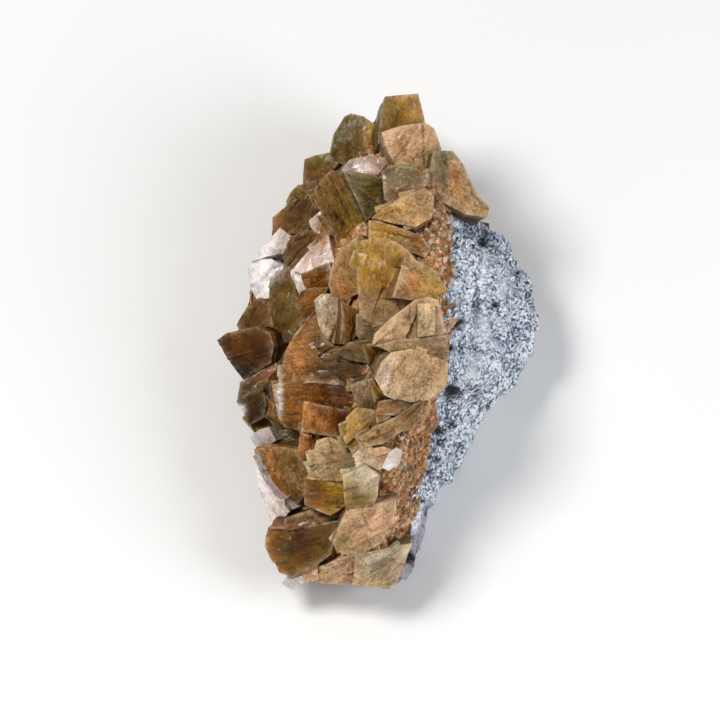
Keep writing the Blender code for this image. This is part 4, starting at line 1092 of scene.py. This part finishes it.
layered_material = crystal_material(
    "layered_siderite",
    {"Streaks": 0.9, "Speckle": 0.6, "Frost": 0.26, "Stain": 0.15, "Pale": 0.5, "Matt": 0.36,
     "Cracks": 0.16, "Facets": 0.7},
    bump=0.8, coat=0.04, glow=0.04, shine=0.1)
crystal_piece("layered_crystals", "layered", LAYERED, layered_material, 300)


# The pearly crystals: faces on the left with a satin lustre, white to rose; that pale colour is painted
# reflection of the light.
PEARLY = {
    "pale_ledge": ("pearl", "peach", 0, 10, 4, 0, 30, 6, (-5.5, 26), (-4, 28), (-1, 28.5), (2, 28),
                   (1, 26.5), (0, 25.5), (-2.5, 25.5)),
    "pale_wedge": ("pearl", "mauve", -60, 50, 2.5, -30, 10, 6, (-10.5, 18.5), (-9, 20), (-7, 16.5),
                   (-8.5, 16), (-10, 17.5)),
    "silver_upper": ("white", "pearl", 0, 55, 4.5, -20, 28, 9, (-19.5, 12.5), (-17.5, 14.5), (-15, 17.5),
                     (-13, 16), (-14.5, 13.5)),
    "silver_lower": ("white", "white", 0, 35, 4.5, -36, 8, 10, (-20.5, 11), (-19.5, 12.5), (-16.5, 12.5),
                     (-13.5, 11), (-16.5, 6.5), (-18.5, 6.5)),
    "silver_blade": ("pearl", "peach", 60, 45, 5, -26, 24, 7, (-13, 11), (-11.5, 12.5), (-9.5, 14.5),
                     (-7.5, 16.5), (-6.5, 12), (-11.5, 10.5)),
    "silver_tail": ("white", "pearl", 0, 95, 4, -36, -10, 7, (-14, 11), (-12, 10.5), (-11, 8), (-12, 6),
                    (-13, 7.5)),
    "foot_glint": ("white", "pearl", -60, 100, 4.5, -40, -24, 8, (-19, -18), (-17, -22), (-13.5, -26.5),
                   (-14.5, -27.5), (-16, -29), (-18, -23)),
}
pearly_material = crystal_material(
    "pearly_siderite",
    {"Streaks": 0.3, "Speckle": 0.2, "Frost": 0.4, "Stain": 0.15, "Pale": 0.4, "Matt": 0.16,
     "Cracks": 0.3, "Facets": 0.8},
    bump=0.6, coat=0.5, glow=0.04, shine=0.5)
crystal_piece("pearly_crystals", "pearly", PEARLY, pearly_material, 400)


# The crystals that the drawing doesn't show: they wrap the left side, the back and both ends in rows over
# the foot of the crust.

# Each row: its height, its first and last bearing in degrees, and how many blocks it may have. A block is
# tried at three sizes and six places further in, and left out if none of them is hidden. It has the same
# leaning corners at its face and its root, each at its own distance out and of its own width.
FLANK_BLOCK = 9.0
FLANK_CELL = 0.38
FOOT_GAP = 1.0
FLANK_ROWS = [(7, 44, 292, 24), (12.5, 56, 268, 18), (17.5, 62, 235, 12)]
FLANK_TRIES = [(shrink, set_in) for shrink in (1, 0.8, 0.65) for set_in in np.arange(0, 9, 1.5)]
FLANK_CORNERS = [(1, 1), (-1, 0.75), (-1.15, -0.85), (0.9, -1)]
FLANK_ENDS = [(0.5, 0.46), (-0.6, 0.56)]
FLANK_LEAN = 0.45
CLEARANCE = 0.3
FLANK_COLOURS = [("honey", "brown"), ("amber", "olive"), ("brown", "tan"), ("tan", "honey"),
                 ("bark", "amber"), ("olive", "honey"), ("mauve", "brown"), ("sand", "tan")]


def crust_reach(bearing):
    """How far the crust's edge lies from the middle in one direction of the plan."""
    reach = np.arange(0, 60, 0.25)
    x, y = reach * math.cos(bearing), reach * math.sin(bearing)
    within = (x > along(LEFT, y) - CRUST) & (x < along(RIGHT, y)) & (abs(y) < ALONG[-1] + CRUST)
    return reach[np.argmin(within)]


drawn_faces = [face_plane(lift, turn, tip, corners) for crystals in (CLEAR, FROSTED, LAYERED, PEARLY)
               for first, second, sweep, grain, lift, turn, tip, depth, *corners in crystals.values()]


def hidden(point):
    """Whether a point keeps inside the outline, and behind the face or the crust that shows at its place."""
    u, v, w = on_drawing(point)
    if not inside(u, v, OUTLINE):
        return False
    over = [level + (np.array((u, v)) - middle) @ slope
            for face, middle, level, slope in drawn_faces if inside(u, v, face)]
    return w < max(over, default=depth_of_crust(u, v) + CRUST) - CLEARANCE


def flank_block(bearing, height, size, set_in, dice):
    """The face and root of a leaning rhombohedral block that stands out of the crust's edge."""
    reach = crust_reach(bearing) - set_in
    middle = Vector((reach * math.cos(bearing), reach * math.sin(bearing), height))
    lean = [dice.uniform(-FLANK_LEAN, FLANK_LEAN) for axis in range(3)]
    turn = Euler((lean[0], lean[1], bearing + lean[2])).to_matrix()
    return [np.array([turn @ (Vector((out + 0.12 * b, a * wide, b * wide * 0.9)) * size) + middle
                      for a, b in FLANK_CORNERS]) for out, wide in FLANK_ENDS]


dice = random.Random(7)
flank = {"frosted": [], "layered": []}
for row, (height, first, last, count) in enumerate(FLANK_ROWS):
    for step in range(count):
        bearing = math.radians(first + (last - first) * (step + 0.5 * row) / (count - 1))
        size = FLANK_BLOCK * dice.uniform(0.8, 1.25)
        raised = height + dice.uniform(-1, 1)
        seed = dice.random()
        number = row * 40 + step
        for shrink, set_in in FLANK_TRIES:
            rings = flank_block(bearing, raised, size * shrink, set_in, random.Random(seed))
            if all(hidden(point) and point[2] > FOOT_GAP for point in np.concatenate(rings)):
                kind = "layered" if number % 3 else "frosted"
                colours = FLANK_COLOURS[number * 5 % len(FLANK_COLOURS)]
                flank[kind].append(block_skin(*rings, kind, number * 37 % 180, *colours, number * 71 % 360,
                                              500 + number, cell=FLANK_CELL))
                break

for kind, material in (("frosted", frosted_material), ("layered", layered_material)):
    piece = joined(f"flank_{kind}_crystals", flank[kind])
    piece.data.materials.append(material)
    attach(piece, "root")
    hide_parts("siderite_crystals")


# Crumbs: thousands of tiny crystals and broken grains, a quarter of a millimetre to a little over one
# across, that fill the gaps between the blocks and cover the stained crust. More of them lie beside the
# seam.
CRUMBS = 3000
CRUMB_CORNERS = 5
CRUMB_COLOURS = ["orange", "tan", "rust", "honey", "peach", "orange", "brown", "sand", "cream", "mauve",
                 "tan", "pearl"]


def crumb_form():
    """A small leaning block: its top inset, its shoulder and its foot, each a ring of five corners."""
    turn = np.arange(CRUMB_CORNERS) * 2 * math.pi / CRUMB_CORNERS + np.array([0, 0.15, -0.1, 0.2, -0.05])
    ring = np.stack([np.cos(turn), np.sin(turn) * 0.8], axis=-1) * 0.5
    rings = [np.column_stack([ring * wide + shift, np.full(CRUMB_CORNERS, z)])
             for wide, shift, z in ((0.7, 0.06, 0.5), (1, 0.03, 0.32), (1.05, 0, -0.5))]
    return closed_skin(np.stack(rings))


def crumbs_over(skin, count, seed):
    """Small blocks on the points of a surface: each stands along the normal there, turned about it, in one
    colour."""
    dice = np.random.default_rng(seed)
    points, quads, triangles = crumb_form()
    out = normals_of(skin)
    choice = dice.integers(0, skin[..., 0].size, count)
    at, normal = skin.reshape(-1, 3)[choice], out.reshape(-1, 3)[choice]
    normal = unit(normal + dice.normal(0, 0.45, normal.shape))
    side = unit(np.cross(normal, dice.normal(0, 1, normal.shape)))
    frame_of_each = np.stack([side, np.cross(normal, side), normal], axis=1)
    size = dice.uniform(0.25, 1, (count, 1, 1)) * np.array([1, 1, 0.9])
    size = size * dice.uniform(0.8, 1.25, (count, 1, 3))
    placed = np.einsum("cpk,ckj->cpj", points * size, frame_of_each) + at[:, None]
    step = np.arange(count)[:, None, None] * len(points)
    tint = np.array([shade(name) for name in CRUMB_COLOURS])[dice.integers(0, len(CRUMB_COLOURS), count)]
    tint = tint * dice.uniform(0.7, 1.15, (count, 1))
    whole = len(points) * count
    return {"points": placed.reshape(-1, 3), "quads": (quads + step).reshape(-1, 4),
            "triangles": (triangles + step).reshape(-1, 3), "tint": np.repeat(tint, len(points), axis=0),
            "rim": np.full(whole, 0.35), "banding": np.zeros(whole), "weave": placed.reshape(-1, 3)[:, :2]}


crumb_beds = [(crust_skin[6:-6, 2:190], CRUMBS, 11), (crust_skin[30:-30, 2:40], CRUMBS // 2, 12)]
crumb_piece = joined("crumb_crystals", [crumbs_over(*bed) for bed in crumb_beds], smooth_under=20)
crumb_piece.data.materials.append(frosted_material)
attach(crumb_piece, "root")
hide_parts("siderite_crystals")


# The quartz: three small white crystals, glassy and slightly see-through, that stick out between the
# siderite. Each row: height over the crust, turn, tip, depth and corners, as for the siderite.
QUARTZ = {
    "quartz_sliver": (6.8, 10, 20, 5, (2, -17.5), (3, -16.7), (4, -17), (3.5, -19), (2, -20), (1, -19.5)),
    "quartz_chip": (5.5, -20, 0, 7, (-19.5, -15), (-18, -14), (-16.5, -13.5), (-15.5, -15.5), (-18, -17)),
    "quartz_splinter": (4, -10, -20, 7, (-14.5, -37.5), (-13, -37), (-10, -36), (-10, -37), (-13, -38.5)),
}
QUARTZ_ROOT = 0.95
QUARTZ_CELL = 0.2
quartz_material = crystal_material(
    "white_quartz",
    {"Streaks": 0.12, "Speckle": 0.12, "Frost": 0.6, "Stain": 0.08, "Pale": 0.3, "Matt": 0.1,
     "Cracks": 0.3, "Facets": 0.4},
    bump=0.3, coat=0.4, glow=0.25, through=0.3, bend=1.54, shine=0.5)
for number, (name, (lift, turn, tip, depth, *corners)) in enumerate(QUARTZ.items()):
    rings = crystal_rings(lift, turn, tip, depth, corners, root=QUARTZ_ROOT)
    skin = block_skin(*rings, "clear", 60, "white", "pearl", 0, 900 + number, cell=QUARTZ_CELL)
    sliver = joined(f"white_{name}", [skin])
    sliver.data.materials.append(quartz_material)
    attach(sliver, "root")
    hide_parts(name)
